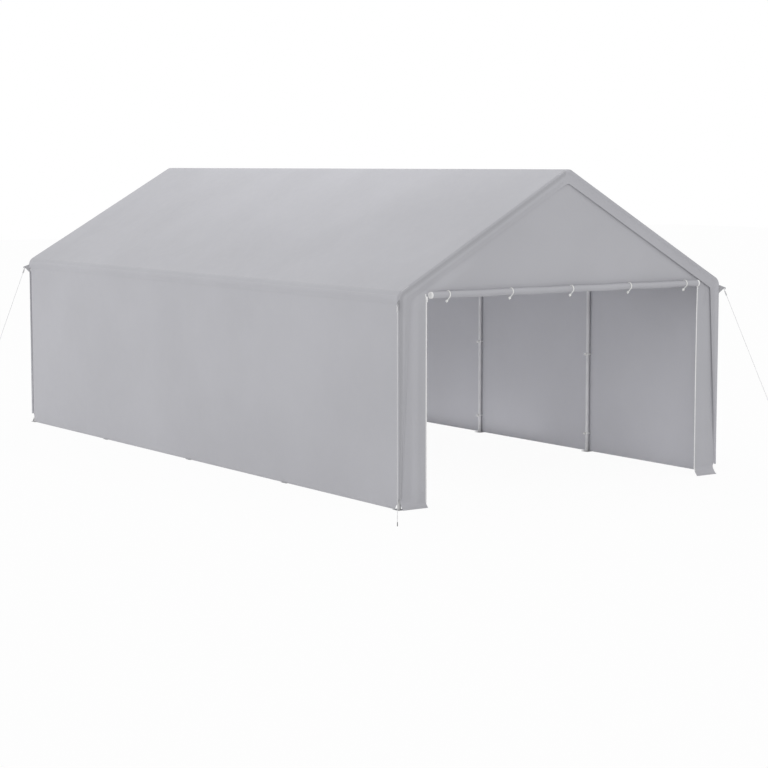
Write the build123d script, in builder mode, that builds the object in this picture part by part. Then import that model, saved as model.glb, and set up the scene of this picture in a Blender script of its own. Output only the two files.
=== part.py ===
"""Fabric carport: a cloth cover with rolled-up end curtains on a frame of steel tubes, in millimetres."""
import os
from math import atan2, cos, sin, tan

from build123d import *

# Overall sizes. X runs across, Y along and Z up, with the origin on the ground at the middle.
outer_width = 4000
outer_length = 8000
eave_height = 2010
ridge_height = 3152
bay_count = 4

# Cover cloth, and the gap at which it lies on what carries it
cloth = 4
rest_gap = 0.3
eave_radius = 100
ridge_radius = 70
valance_drop = 95

# Arch band on each end, with strips that taper down the corner legs
band_width = 125
band_gap = 8
strip_top_width = 138
strip_foot_width = 43
strip_foot_height = 100

# Jambs beside the door, and their zips
jamb_width = 303
head_drop = 11
flare_height = 60
flare_reach = 50
zip_width = 12
zip_thickness = 3

# Rolled curtain
roll_diameter = 66
roll_inset = 22

# Steel tubes, the fittings that join them and the feet
tube_diameter = 38
slip = 0.3
fitting_wall = 2.7
socket_depth = 80
foot_width = 80
foot_length = 100
foot_thickness = 3
peg_hole_diameter = 11
peg_hole_pitch = 72

# Corner tabs, guy ropes and ground pegs
tab_rise = 38
tab_fall = 58
tab_reach = 76
tab_drop = 31
strap_length = 28
strap_height = 18
eyelet_diameter = 8
eyelet_inset = 12
rope_diameter = 5
peg_out_x = 475
peg_out_y = 665
peg_diameter = 8
peg_height = 34
peg_arm = 36
rope_seat = 22

# Worked out from the sizes above
half_width = outer_width / 2
half_length = outer_length / 2
slope = atan2(ridge_height - eave_height, half_width)
tube_radius = tube_diameter / 2
bore_radius = tube_radius + slip
fitting_radius = bore_radius + fitting_wall
hem_height = foot_thickness + rest_gap
door_half = half_width - jamb_width
door_head = eave_height - head_drop
roll_radius = roll_diameter / 2
cover_half = half_length - cloth
panel_face = cover_half - band_gap
panel_back = panel_face - cloth
wall_face = half_width - cloth - rest_gap
wall_back = wall_face - cloth
panel_depth = half_width - wall_back + rest_gap
rafter_depth = cloth + rest_gap + fitting_radius
leg_x = wall_back - rest_gap - fitting_radius
end_frame = panel_back - rest_gap - fitting_radius
bay = 2 * end_frame / bay_count
frame_places = [bay * index - end_frame for index in range(bay_count + 1)]
half_eave_turn = atan2(half_width, ridge_height - eave_height) / 2
eave_fold = eave_height - eave_radius * tan(half_eave_turn)


def roof_height(x, depth):
    """Height of the roof plane at a distance x from the middle, a depth below the outer cloth."""
    return ridge_height - depth / cos(slope) - x * tan(slope)


def save(piece, name):
    """Label a finished piece and write it."""
    piece.part.label = name
    export_step(piece.part, f"parts/{name}.step")


def arch_outline(depth, foot):
    """Closed outline of the carport's end, a depth inside the outer cloth, standing on a foot height."""
    x = half_width - depth
    arch = FilletPolyline(
        (-x, foot),
        (-x, roof_height(x, depth)),
        (0, roof_height(0, depth)),
        (x, roof_height(x, depth)),
        (x, foot),
        radius=[eave_radius - depth, ridge_radius - depth, eave_radius - depth],
    )
    Line(arch @ 1, arch @ 0)


def rod(start, end, radius):
    """Straight round bar between two points."""
    axis = Vector(*end) - Vector(*start)
    with BuildSketch(Plane(origin=start, z_dir=axis)) as section:
        Circle(radius)
    extrude(section.sketch, amount=axis.length)


def socket(mouth, inward):
    """Seat for a tube, bored into the fitting from its mouth."""
    with BuildSketch(Plane(origin=mouth, z_dir=inward)) as section:
        Circle(bore_radius)
    extrude(section.sketch, amount=socket_depth, mode=Mode.SUBTRACT)


def bent_fitting(points, bend):
    """Flat-sided bent sleeve along three points in the XZ plane, with a tube socket bored into both ends."""
    with BuildPart() as fitting:
        with BuildSketch(Plane.XZ) as outline:
            with BuildLine():
                FilletPolyline(*[(point.X, point.Z) for point in points], radius=bend)
            trace(line_width=2 * fitting_radius)
        extrude(outline.sketch, amount=fitting_radius, both=True)
        socket(points[0], points[1] - points[0])
        socket(points[-1], points[1] - points[-1])
    return fitting.part


def at_frames(part):
    """Place one fitting on every frame."""
    with Locations(*[(0, place, 0) for place in frame_places]):
        add(part)


# Bends of the frame: where the tube axes meet at the eaves and the ridge
eave_bend = eave_radius - cloth - fitting_radius
ridge_bend = ridge_radius - cloth - fitting_radius
eave_corner = Vector(leg_x, 0, roof_height(leg_x, rafter_depth))
ridge_corner = Vector(0, 0, roof_height(0, rafter_depth))
up_slope = Vector(-cos(slope), 0, sin(slope))
eave_tangent = eave_bend * tan(half_eave_turn)
ridge_tangent = ridge_bend * tan(slope)
eave_inward = (up_slope - Vector(0, 0, 1)).normalized()
purlin_drop = fitting_radius + rest_gap + tube_radius
eave_purlin = eave_corner + eave_inward * (eave_bend / cos(half_eave_turn) - eave_bend + purlin_drop)
ridge_purlin = ridge_corner - Vector(0, 0, ridge_bend / cos(slope) - ridge_bend + purlin_drop)
leg_top = eave_corner - Vector(0, 0, eave_tangent)
rafter_foot = eave_corner + up_slope * eave_tangent
rafter_head = ridge_corner - up_slope * ridge_tangent

os.makedirs("parts", exist_ok=True)

# Legs, standing on the base plates and seated in the eave fittings
for number, place in enumerate(frame_places, start=1):
    for side_name, side in (("left", -1), ("right", 1)):
        with BuildPart() as leg:
            rod((side * leg_x, place, foot_thickness), (side * leg_x, place, leg_top.Z), tube_radius)
        save(leg, f"{side_name}_leg_{number}")

# Feet: a base plate under each leg, with two peg holes at the corners and the middle
with BuildPart() as plain_foot:
    Box(foot_width, foot_length, foot_thickness, align=(Align.CENTER, Align.CENTER, Align.MIN))

with BuildPart() as pegged_foot:
    add(plain_foot.part)
    with GridLocations(0, peg_hole_pitch, 1, 2):
        Hole(peg_hole_diameter / 2)

pegged_places = [frame_places[0], frame_places[bay_count // 2], frame_places[-1]]
for side_name, side in (("left", -1), ("right", 1)):
    with BuildPart() as feet:
        for place in frame_places:
            with Locations((side * leg_x, place)):
                add(pegged_foot.part if place in pegged_places else plain_foot.part)
    save(feet, f"{side_name}_feet")

# Rafters, one pair a frame
with BuildPart() as right_rafters:
    for place in frame_places:
        offset_y = Vector(0, place, 0)
        rod(rafter_foot + offset_y, rafter_head + offset_y, tube_radius)
save(right_rafters, "right_rafters")

with BuildPart() as left_rafters:
    mirror(right_rafters.part, about=Plane.YZ)
save(left_rafters, "left_rafters")

# Eave fittings: an elbow from leg to rafter
elbow = bent_fitting(
    [leg_top - Vector(0, 0, socket_depth), eave_corner, rafter_foot + up_slope * socket_depth],
    eave_bend,
)
with BuildPart() as right_eave_fittings:
    at_frames(elbow)
save(right_eave_fittings, "right_eave_fittings")

with BuildPart() as left_eave_fittings:
    mirror(right_eave_fittings.part, about=Plane.YZ)
save(left_eave_fittings, "left_eave_fittings")

# Ridge fittings: a bent sleeve from rafter to rafter
peak_right = rafter_head - up_slope * socket_depth
peak = bent_fitting([Vector(-peak_right.X, 0, peak_right.Z), ridge_corner, peak_right], ridge_bend)
with BuildPart() as ridge_fittings:
    at_frames(peak)
save(ridge_fittings, "ridge_fittings")

# Purlins, seated in the hollow of the bends and as long as the frame
purlin_end = end_frame + fitting_radius
for name, side, axis in (
    ("ridge_purlin", 0, ridge_purlin),
    ("left_eave_purlin", -1, eave_purlin),
    ("right_eave_purlin", 1, eave_purlin),
):
    with BuildPart() as purlin:
        rod((side * axis.X, -purlin_end, axis.Z), (side * axis.X, purlin_end, axis.Z), tube_radius)
    save(purlin, name)

# Roof cover: one sheet over the ridge and round the eaves to its side valances
with BuildPart() as roof_cover:
    with BuildSketch(Plane.XZ.offset(cover_half)):
        with BuildLine():
            arch_outline(0, eave_height - valance_drop)
        make_face()
        with BuildLine():
            arch_outline(cloth, eave_height - valance_drop)
        make_face(mode=Mode.SUBTRACT)
    extrude(amount=-2 * cover_half)
save(roof_cover, "roof_cover")

# Side walls, hung behind the valances
for name, low_x in (("left_wall", -wall_face), ("right_wall", wall_back)):
    with BuildPart() as wall:
        with Locations((low_x, 0, hem_height)):
            Box(
                cloth,
                2 * cover_half,
                eave_fold - hem_height,
                align=(Align.MIN, Align.CENTER, Align.MIN),
            )
    save(wall, name)

# Arch band: along the roof's end and down the corner legs
strip_inner = half_width - strip_top_width
strip_foot = half_width - strip_foot_width
with BuildPart() as front_band:
    with BuildSketch(Plane.XZ.offset(half_length)):
        with BuildLine():
            arch_outline(0, strip_foot_height)
        make_face()
        with BuildLine():
            Polyline(
                (-strip_foot, strip_foot_height),
                (-strip_inner, roof_height(strip_inner, band_width)),
                (0, roof_height(0, band_width)),
                (strip_inner, roof_height(strip_inner, band_width)),
                (strip_foot, strip_foot_height),
                close=True,
            )
        make_face(mode=Mode.SUBTRACT)
    extrude(amount=-cloth)
save(front_band, "front_band")

# Gable panel, behind the band and above the door head
with BuildPart() as front_gable:
    with BuildSketch(Plane.XZ.offset(panel_face)):
        with BuildLine():
            arch_outline(panel_depth, 0)
        make_face()
        with Locations((0, door_head)):
            Rectangle(outer_width, ridge_height, align=(Align.CENTER, Align.MIN), mode=Mode.INTERSECT)
    extrude(amount=-cloth)
save(front_gable, "front_gable")

# Jambs beside the door, flared forwards along the ground
with BuildPart() as front_right_jamb:
    with BuildSketch(Plane.YZ.offset(door_half)):
        with BuildLine():
            Polyline(
                (-panel_face, door_head),
                (-panel_face, flare_height),
                (-panel_face - flare_reach, hem_height),
                (-panel_back - flare_reach, hem_height),
                (-panel_back, flare_height),
                (-panel_back, door_head),
                close=True,
            )
        make_face()
    extrude(amount=half_width - panel_depth - door_half)
save(front_right_jamb, "front_right_jamb")

with BuildPart() as front_left_jamb:
    mirror(front_right_jamb.part, about=Plane.YZ)
save(front_left_jamb, "front_left_jamb")

# Zips on the jambs' inner edges
with BuildPart() as front_zips:
    for low_x in (-door_half - zip_width, door_half):
        with Locations((low_x, -panel_face, flare_height)):
            Box(
                zip_width,
                zip_thickness,
                door_head - flare_height,
                align=(Align.MIN, Align.MAX, Align.MIN),
            )
save(front_zips, "front_zips")

# Door curtain, rolled up against the gable panel
roll_y = -panel_face - rest_gap - roll_radius
roll_half = door_half - roll_inset
with BuildPart() as front_door_roll:
    rod((-roll_half, roll_y, door_head), (roll_half, roll_y, door_head), roll_radius)
save(front_door_roll, "front_door_roll")

# The rear end repeats the front one
for front_piece, name in (
    (front_band, "rear_band"),
    (front_gable, "rear_gable"),
    (front_left_jamb, "rear_left_jamb"),
    (front_right_jamb, "rear_right_jamb"),
    (front_zips, "rear_zips"),
    (front_door_roll, "rear_door_roll"),
):
    with BuildPart() as rear_piece:
        mirror(front_piece.part, about=Plane.XZ)
    save(rear_piece, name)

# Corner tabs: a cloth triangle pointing outwards from each corner's edge, drawn out to a strap with an eyelet
outward = Vector(1, -1, 0).normalized()
tab_middle = eave_fold - tab_drop
with BuildPart() as corner_tab:
    with BuildSketch(Plane(origin=(half_width, -half_length, tab_middle), x_dir=outward, z_dir=(-1, -1, 0))):
        with BuildLine():
            Polyline(
                (0, -tab_fall),
                (tab_reach - strap_length, -strap_height / 2),
                (tab_reach, -strap_height / 2),
                (tab_reach, strap_height / 2),
                (0, tab_rise),
                close=True,
            )
        make_face()
        with Locations((tab_reach - eyelet_inset, 0)):
            Circle(eyelet_diameter / 2, mode=Mode.SUBTRACT)
    extrude(amount=cloth / 2, both=True)

with BuildPart() as corner_tabs:
    add(corner_tab.part)
    mirror(about=Plane.YZ)
    mirror(about=Plane.XZ)
save(corner_tabs, "corner_tabs")

# Ground pegs: the hooked end that stands above the ground, its arm in line with the rope
rope_radius = rope_diameter / 2
peg_radius = peg_diameter / 2
strap_eye = Vector(half_width, -half_length, 0) + outward * (tab_reach - eyelet_inset)
peg_foot = Vector(half_width + peg_out_x, -half_length - peg_out_y, 0)
away = (peg_foot - strap_eye).normalized()
with BuildPart() as ground_peg:
    with BuildSketch(Plane(origin=peg_foot, x_dir=away, z_dir=away.cross(Vector(0, 0, 1)))) as hook:
        with BuildLine():
            Polyline(
                (-peg_radius, 0),
                (-peg_radius, peg_height + peg_radius),
                (peg_arm, peg_height + peg_radius),
                (peg_arm, peg_height - peg_radius),
                (peg_radius, peg_height - peg_radius),
                (peg_radius, 0),
                close=True,
            )
        make_face()
    extrude(hook.sketch, amount=peg_radius, both=True)

with BuildPart() as ground_pegs:
    add(ground_peg.part)
    mirror(about=Plane.YZ)
    mirror(about=Plane.XZ)
save(ground_pegs, "ground_pegs")

# Guy ropes, taut from under each strap's eyelet to its peg
seat = peg_foot + away * rope_seat
rope_lean = atan2((seat - strap_eye).length, tab_middle - peg_height)
rope_lift = rest_gap + rope_radius * sin(rope_lean)
rope_top = strap_eye + Vector(0, 0, tab_middle - strap_height / 2 - rope_lift)
rope_foot = seat + Vector(0, 0, peg_height + peg_radius + rope_lift)
for end_name, end in (("front", 1), ("rear", -1)):
    for side_name, side in (("left", -1), ("right", 1)):
        with BuildPart() as rope:
            rod(
                (side * rope_top.X, end * rope_top.Y, rope_top.Z),
                (side * rope_foot.X, end * rope_foot.Y, rope_foot.Z),
                rope_radius,
            )
        save(rope, f"{end_name}_{side_name}_rope")
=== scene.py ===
"""Dresses the carport: grey cover cloth, rolled end curtains, zips, ball ties, guy ropes and steel frame."""

import logging
import math
from collections.abc import Sequence
from dataclasses import dataclass, replace
from enum import Enum

import bpy
import numpy as np
from mathutils import Matrix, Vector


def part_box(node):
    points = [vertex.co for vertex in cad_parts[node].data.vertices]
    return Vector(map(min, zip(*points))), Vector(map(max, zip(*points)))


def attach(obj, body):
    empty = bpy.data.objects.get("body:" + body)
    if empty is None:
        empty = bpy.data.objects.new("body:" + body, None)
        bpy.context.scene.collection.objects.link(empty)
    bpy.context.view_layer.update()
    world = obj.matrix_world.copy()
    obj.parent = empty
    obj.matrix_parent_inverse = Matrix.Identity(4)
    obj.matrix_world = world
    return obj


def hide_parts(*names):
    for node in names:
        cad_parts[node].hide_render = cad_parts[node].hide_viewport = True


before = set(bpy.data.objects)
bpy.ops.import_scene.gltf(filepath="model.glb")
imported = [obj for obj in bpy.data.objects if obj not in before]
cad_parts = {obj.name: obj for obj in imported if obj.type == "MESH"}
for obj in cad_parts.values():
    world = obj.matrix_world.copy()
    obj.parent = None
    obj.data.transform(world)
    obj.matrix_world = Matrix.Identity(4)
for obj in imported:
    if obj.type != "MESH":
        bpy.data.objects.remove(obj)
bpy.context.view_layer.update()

Array = np.ndarray
Socket = bpy.types.NodeSocket
Material = bpy.types.Material
Object = bpy.types.Object
Pair = tuple[float, float]
Triple = tuple[float, float, float]
Numbers = tuple[float, ...]
Counts = tuple[int, ...]
logger = logging.getLogger("carport")

FULL_TURN = 2.0 * math.pi
FRAME_COUNT = 5
X_AXIS, Y_AXIS, Z_AXIS = np.eye(3)
# Point inside the carport, from which its cloth looks away
MIDDLE = np.array((0.0, 0.0, 1.0))


class Place(Enum):
    """Choice of a place on the carport, whose value is the sign of its side."""

    @property
    def word(self) -> str:
        """The place as it stands in the names of nodes."""
        return self.name.lower()


class End(Place):
    """Ends of the carport, with the sign of their Y side."""

    FRONT = -1
    REAR = 1


class Side(Place):
    """Long sides of the carport, with the sign of their X side."""

    LEFT = -1
    RIGHT = 1


class Slot(Enum):
    """Material slots of the record."""

    CLOTH = "cover_cloth"
    STEEL = "frame_steel"
    ZIP = "zip_white"
    TAB = "tab_grey"
    ROPE = "rope_white"
    PEG = "peg_steel"


# Arrays and curves


def unit(vector: Array) -> Array:
    """Give vectors, along the last axis, a length of one."""
    return vector / np.linalg.norm(vector, axis=-1, keepdims=True)


def smooth_step(value: Array, low: float, high: float) -> Array:
    """Rise from 0 at low to 1 at high along 3 t^2 - 2 t^3."""
    share = np.clip((value - low) / (high - low), 0.0, 1.0)
    return share * share * (3.0 - 2.0 * share)


def bell(value: Array, width: float) -> Array:
    """Bell curve exp(-(value / width)^2), one at zero."""
    return np.exp(-np.square(value / width))


def circle(count: int) -> Array:
    """Evenly spaced angles round a full turn."""
    return np.linspace(0.0, FULL_TURN, count, endpoint=False)


def grid(*parts: Array | float) -> Array:
    """Points whose parts are the given arrays, spread to one shape."""
    return np.stack(np.broadcast_arrays(*parts), axis=-1)


def graded(low: float, high: float, count: int, lean: float) -> Array:
    """Places from low to high, closer together at the low end: lean * t^2 + (1 - lean) * t of the way."""
    share = np.linspace(0.0, 1.0, count)
    return low + (high - low) * (lean * share**2 + (1.0 - lean) * share)


def eased(share: Array, stops: Sequence[float], values: Sequence[float]) -> Array:
    """Curve that is level at every stop, with a smooth step from each value to the next.

    Args:
        share: where the curve is read.
        stops: rising places of the given values.
        values: the curve's value at each stop.

    Returns:
        The curve's values, in the shape of share.
    """
    places = np.asarray(stops)
    levels = np.asarray(values)
    index = np.clip(np.searchsorted(places, share, side="right") - 1, 0, len(places) - 2)
    local = smooth_step((share - places[index]) / (places[index + 1] - places[index]), 0.0, 1.0)
    return levels[index] * (1.0 - local) + levels[index + 1] * local


def rounded_line(corners: Array, radii: Sequence[float], spans: Sequence[int], bend: int) -> Array:
    """Flat line through corners, with an arc at each inner one.

    An arc starts a tangent length, radius times tan of half the turn, before its corner. From there it
    follows start + radius * (sin(angle) * along + (1 - cos(angle)) * inward).

    Args:
        corners: corner points, (n, 2).
        radii: radius at each inner corner.
        spans: steps on each straight run.
        bend: steps on each arc.

    Returns:
        Points of the line, (m, 2).
    """
    pieces = []
    start = corners[0]
    for index, radius in enumerate(radii, start=1):
        along = unit(corners[index] - corners[index - 1])
        onward = unit(corners[index + 1] - corners[index])
        turn = math.atan2(along[0] * onward[1] - along[1] * onward[0], along @ onward)
        reach = radius * math.tan(abs(turn) / 2)
        arc_start = corners[index] - along * reach
        inward = math.copysign(1.0, turn) * np.array((-along[1], along[0]))
        angle = np.linspace(0.0, abs(turn), bend, endpoint=False)[:, None]
        pieces.append(np.linspace(start, arc_start, spans[index - 1], endpoint=False))
        pieces.append(arc_start + radius * (np.sin(angle) * along + (1.0 - np.cos(angle)) * inward))
        start = corners[index] + onward * reach
    pieces.append(np.linspace(start, corners[-1], spans[-1] + 1))
    return np.concatenate(pieces)


def run_length(line: Array) -> Array:
    """Distance along a line from its first point to each of its points."""
    steps = np.linalg.norm(np.diff(line, axis=0), axis=1)
    return np.concatenate(([0.0], np.cumsum(steps)))


def quads(number: Array) -> Array:
    """Four-sided faces of a grid of point numbers, (k, 4)."""
    loop = (number[:-1, :-1], number[1:, :-1], number[1:, 1:], number[:-1, 1:])
    return np.stack(loop, axis=-1).reshape(-1, 4)


def upright(x: float, y: float, z: float) -> Array:
    """Place at a point, not turned, as a 4 x 4 array."""
    return np.array(Matrix.Translation((x, y, z)))


def facing(point: Sequence[float], direction: Sequence[float], across: Sequence[float]) -> Array:
    """Place at a point whose Z axis looks in a direction.

    Args:
        point: the place's origin.
        direction: where its Z axis looks.
        across: a vector that its X axis leans to.

    Returns:
        The place as a 4 x 4 array.
    """
    z_axis = unit(np.asarray(direction, float))
    y_axis = unit(np.cross(z_axis, np.asarray(across, float)))
    place = np.eye(4)
    place[:3, 0] = np.cross(y_axis, z_axis)
    place[:3, 1] = y_axis
    place[:3, 2] = z_axis
    place[:3, 3] = point
    return place


# Closed surfaces


def link(name: str, data: bpy.types.ID) -> Object:
    """Put data in the scene as an object at the origin."""
    made = bpy.data.objects.new(name, data)
    bpy.context.scene.collection.objects.link(made)
    return made


@dataclass
class Patch:
    """Closed surface as whole arrays.

    Attributes:
        points: places of the points, (n, 3), in metres.
        faces: arrays of point numbers, one array for each number of sides.
        uv: metres along and across the piece at each point, (n, 2).
        hem: distance from the nearest sewn edge at each point, which on the roof's eave and the band's rim
            marks a strip of painted shade instead.
        rim: 1 or 2 on the two borders of a shell, 0 elsewhere.
    """

    points: Array
    faces: tuple[Array, ...]
    uv: Array
    hem: Array
    rim: Array

    @classmethod
    def plain(cls, points: Array, faces: tuple[Array, ...], uv: Array) -> "Patch":
        """Make a surface that has no sewn edge."""
        count = len(points)
        return cls(points, faces, uv, np.ones(count), np.zeros(count, int)).outward()

    def volume(self) -> float:
        """Volume inside the surface: the sum over its triangles of a . (b x c) / 6.

        Returns:
            The volume, below zero where the faces look inwards.
        """
        total = 0.0
        for face in self.faces:
            corner = self.points[face]
            for last in range(2, face.shape[1]):
                cross = np.cross(corner[:, last - 1], corner[:, last])
                total += float(np.sum(corner[:, 0] * cross)) / 6.0
        return total

    def outward(self) -> "Patch":
        """Turn the faces round if they look inwards."""
        if self.volume() < 0.0:
            self.faces = tuple(face[:, ::-1] for face in self.faces)
        return self

    def stamped(self, places: Sequence[Array]) -> "Patch":
        """Copy the surface to many places, each point turned and moved by each place in one product.

        Args:
            places: 4 x 4 arrays, without mirroring.

        Returns:
            One surface that holds all the copies.
        """
        spots = np.asarray(places)
        count = len(spots)
        moved = np.einsum("kij,nj->kni", spots[:, :3, :3], self.points) + spots[:, None, :3, 3]
        shift = np.arange(count)[:, None, None] * len(self.points)
        faces = tuple((face[None] + shift).reshape(-1, face.shape[1]) for face in self.faces)
        uv = np.tile(self.uv, (count, 1))
        return Patch(moved.reshape(-1, 3), faces, uv, np.tile(self.hem, count), np.tile(self.rim, count))

    def turned(self, end: End) -> "Patch":
        """Keep the surface at the front, or turn it half round the vertical to the rear."""
        sign = -float(end.value)
        return replace(self, points=self.points * (sign, sign, 1.0))

    def mirrored(self, x_sign: float, y_sign: float) -> "Patch":
        """Mirror the surface across the middle planes, with its faces kept outwards."""
        return replace(self, points=self.points * (x_sign, y_sign, 1.0)).outward()

    def to_object(self, name: str, finish: Material) -> Object:
        """Put the arrays into a new mesh.

        Args:
            name: name of the piece.
            finish: its material.

        Returns:
            The piece's object, at the origin.
        """
        mesh = bpy.data.meshes.new(name)
        corners = np.concatenate([face.ravel() for face in self.faces]).astype(np.int32)
        sides = np.concatenate([np.full(len(face), face.shape[1]) for face in self.faces])
        starts = (np.cumsum(sides) - sides).astype(np.int32)
        mesh.vertices.add(len(self.points))
        mesh.vertices.foreach_set("co", self.points.astype(np.float32).ravel())
        mesh.loops.add(len(corners))
        mesh.loops.foreach_set("vertex_index", corners)
        mesh.polygons.add(len(sides))
        mesh.polygons.foreach_set("loop_start", starts)
        mesh.update(calc_edges=True)
        mesh.polygons.foreach_set("use_smooth", np.ones(len(sides), bool))
        uv_map = mesh.uv_layers.new(name="cloth")
        uv_map.data.foreach_set("uv", self.uv[corners].astype(np.float32).ravel())
        hem = mesh.attributes.new("hem", "FLOAT", "POINT")
        hem.data.foreach_set("value", self.hem.astype(np.float32))
        ends = np.empty(2 * len(mesh.edges), np.int32)
        mesh.edges.foreach_get("vertices", ends)
        rim = self.rim[ends.reshape(-1, 2)]
        crisp = (rim[:, 0] == rim[:, 1]) & (rim[:, 0] > 0)
        mesh.attributes.new("sharp_edge", "BOOLEAN", "EDGE").data.foreach_set("value", crisp)
        mesh.materials.append(finish)
        return link(name, mesh)


def joined(patches: Sequence[Patch]) -> Patch:
    """Join several surfaces into one, with their faces grouped by their number of sides.

    Args:
        patches: the surfaces.

    Returns:
        One surface that holds them all.
    """
    groups: dict[int, list[Array]] = {}
    shift = 0
    for patch in patches:
        for face in patch.faces:
            groups.setdefault(face.shape[1], []).append(face + shift)
        shift += len(patch.points)
    return Patch(
        np.concatenate([patch.points for patch in patches]),
        tuple(np.concatenate(group) for group in groups.values()),
        np.concatenate([patch.uv for patch in patches]),
        np.concatenate([patch.hem for patch in patches]),
        np.concatenate([patch.rim for patch in patches]),
    )


def shell(
    points: Array,
    thickness: Array | float,
    uv: Array,
    hem: Array | None = None,
    centre: Array = MIDDLE,
    closed: bool = False,
) -> Patch:
    """Cloth of a given thickness behind a grid of points.

    The normal is the cross product of the grid's two directions, turned away from the centre. The back is
    the front moved against it by the thickness, and a rim joins the two borders.

    Args:
        points: the outer face, (rows, columns, 3).
        thickness: thickness of the cloth, for the whole piece or at each point.
        uv: metres along and across the cloth, (rows, columns, 2).
        hem: distance from the sewn edges, or on the roof's eave and the band's rim from a strip of painted
            shade, spread to (rows, columns), or None where there is neither.
        centre: point on the inner side.
        closed: whether the last row joins the first.

    Returns:
        The closed surface.
    """
    rows, columns = points.shape[:2]
    if closed:
        along = np.roll(points, -1, axis=0) - np.roll(points, 1, axis=0)
    else:
        along = np.gradient(points, axis=0)
    normal = unit(np.cross(along, np.gradient(points, axis=1)))
    if np.sum(normal * (centre - points)) > 0.0:
        normal = -normal
    depth = np.broadcast_to(np.asarray(thickness, float), (rows, columns))
    size = rows * columns
    number = np.arange(size).reshape(rows, columns)
    border = [number[0, :-1], number[:-1, -1], number[-1, :0:-1], number[:0:-1, 0]]
    loops = [np.concatenate(border)]
    cells = number
    if closed:
        loops = [number[:, -1], number[::-1, 0]]
        cells = np.concatenate((number, number[:1]))
    rims = [np.stack((a, np.roll(a, -1), np.roll(a, -1) + size, a + size), axis=1) for a in loops]
    faces = np.concatenate([quads(cells), quads(cells + size)[:, ::-1], *rims])
    rim = np.zeros(2 * size, int)
    for loop in loops:
        rim[loop] = 1
        rim[loop + size] = 2
    far = np.broadcast_to(1.0 if hem is None else hem, (rows, columns))
    back = points - normal * depth[..., None]
    return Patch(
        np.concatenate((points.reshape(-1, 3), back.reshape(-1, 3))),
        (faces,),
        np.tile(uv.reshape(-1, 2), (2, 1)),
        np.tile(far.ravel(), 2),
        rim,
    ).outward()


def ringed(rings: Array, first: Array, last: Array, along: Array) -> Patch:
    """Close a stack of rings with a fan of triangles at each end.

    Args:
        rings: points of the rings, (count, sides, 3).
        first: middle of the first end.
        last: middle of the last end.
        along: metres from the first ring to each ring.

    Returns:
        The closed surface.
    """
    count, sides = rings.shape[:2]
    size = count * sides
    number = np.arange(size).reshape(count, sides)
    walls = quads(np.pad(number, ((0, 0), (0, 1)), mode="wrap"))
    foot = np.stack((np.full(sides, size), number[0], np.roll(number[0], -1)), axis=1)
    head = np.stack((np.roll(number[-1], -1), number[-1], np.full(sides, size + 1)), axis=1)
    around = np.abs(np.linspace(-1.0, 1.0, sides, endpoint=False))
    girth = np.linalg.norm(rings[:, 0] - rings[:, sides // 2], axis=1) * math.pi / 2
    uv = grid(around * girth[:, None], along[:, None]).reshape(-1, 2)
    ends = np.array(((0.0, along[0]), (0.0, along[-1])))
    points = np.concatenate((rings.reshape(-1, 3), (first, last)))
    return Patch.plain(points, (walls, np.concatenate((foot, head))), np.concatenate((uv, ends)))


def bar(path: Array, radius: Array | float, across: Array, sides: int = 8) -> Patch:
    """Round bar along a path: path + radius * (cos(angle) * side + sin(angle) * rise).

    Args:
        path: points of the middle line, (n, 3).
        radius: radius, for the whole bar or at each point.
        across: a direction that the path never takes.
        sides: points on each ring.

    Returns:
        The closed surface.
    """
    along = unit(np.gradient(path, axis=0))
    side = unit(np.cross(along, across))
    rise = np.cross(side, along)
    angle = circle(sides)[None, :, None]
    girth = np.broadcast_to(np.asarray(radius, float), (len(path),))[:, None, None]
    rings = path[:, None] + girth * (np.cos(angle) * side[:, None] + np.sin(angle) * rise[:, None])
    return ringed(rings, path[0], path[-1], run_length(path))


def lathe(heights: Array, radii: Array, sides: int) -> Patch:
    """Turned piece about the Z axis: (radius * cos(angle), radius * sin(angle), height).

    Args:
        heights: height of each point of the outline.
        radii: its distance from the axis.
        sides: points on each ring.

    Returns:
        The closed surface.
    """
    angle = circle(sides)
    flat = grid(np.cos(angle), np.sin(angle), 0.0)
    rings = radii[:, None, None] * flat + heights[:, None, None] * Z_AXIS
    return ringed(rings, heights[0] * Z_AXIS, heights[-1] * Z_AXIS, run_length(grid(radii, heights)))


def ring(major: float, minor: float, segments: int = 20, sides: int = 8) -> Patch:
    """Ring about the Z axis: (major + minor * cos(b)) out along angle a, and minor * sin(b) up.

    Args:
        major: radius of the middle line.
        minor: radius of the wire.
        segments: steps round the ring.
        sides: steps round the wire.

    Returns:
        The closed surface.
    """
    a = circle(segments)[:, None]
    b = circle(sides)
    out = major + minor * np.cos(b)
    points = grid(out * np.cos(a), out * np.sin(a), minor * np.sin(b))
    number = np.pad(np.arange(segments * sides).reshape(segments, sides), (0, 1), mode="wrap")
    uv = grid(np.abs(a - math.pi) * major, np.abs(b - math.pi) * minor)
    return Patch.plain(points.reshape(-1, 3), (quads(number),), uv.reshape(-1, 2))


def pillow(width: float, depth: float, height: float, power: float = 0.35, sides: int = 24) -> Patch:
    """Block with rounded edges: a superellipsoid, whose sines and cosines are raised to a power below one.

    Args:
        width: size along X.
        depth: size along Y.
        height: size along Z.
        power: 1 for an ellipsoid, towards 0 for a sharp block.
        sides: points on each ring.

    Returns:
        The closed surface.
    """
    lift = np.linspace(-0.5, 0.5, sides // 2 + 2)[1:-1] * math.pi
    turn = circle(sides)

    def bulged(value: Array) -> Array:
        """Raise a sine or cosine to the power, with its sign kept."""
        return np.sign(value) * np.abs(value) ** power

    out = bulged(np.cos(lift))[:, None]
    rings = grid(
        width / 2 * out * bulged(np.cos(turn)),
        depth / 2 * out * bulged(np.sin(turn)),
        height / 2 * bulged(np.sin(lift))[:, None],
    )
    rise = Z_AXIS * height / 2
    return ringed(rings, -rise, rise, rings[:, 0, 2])


# Sizes shared by the pieces


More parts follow.
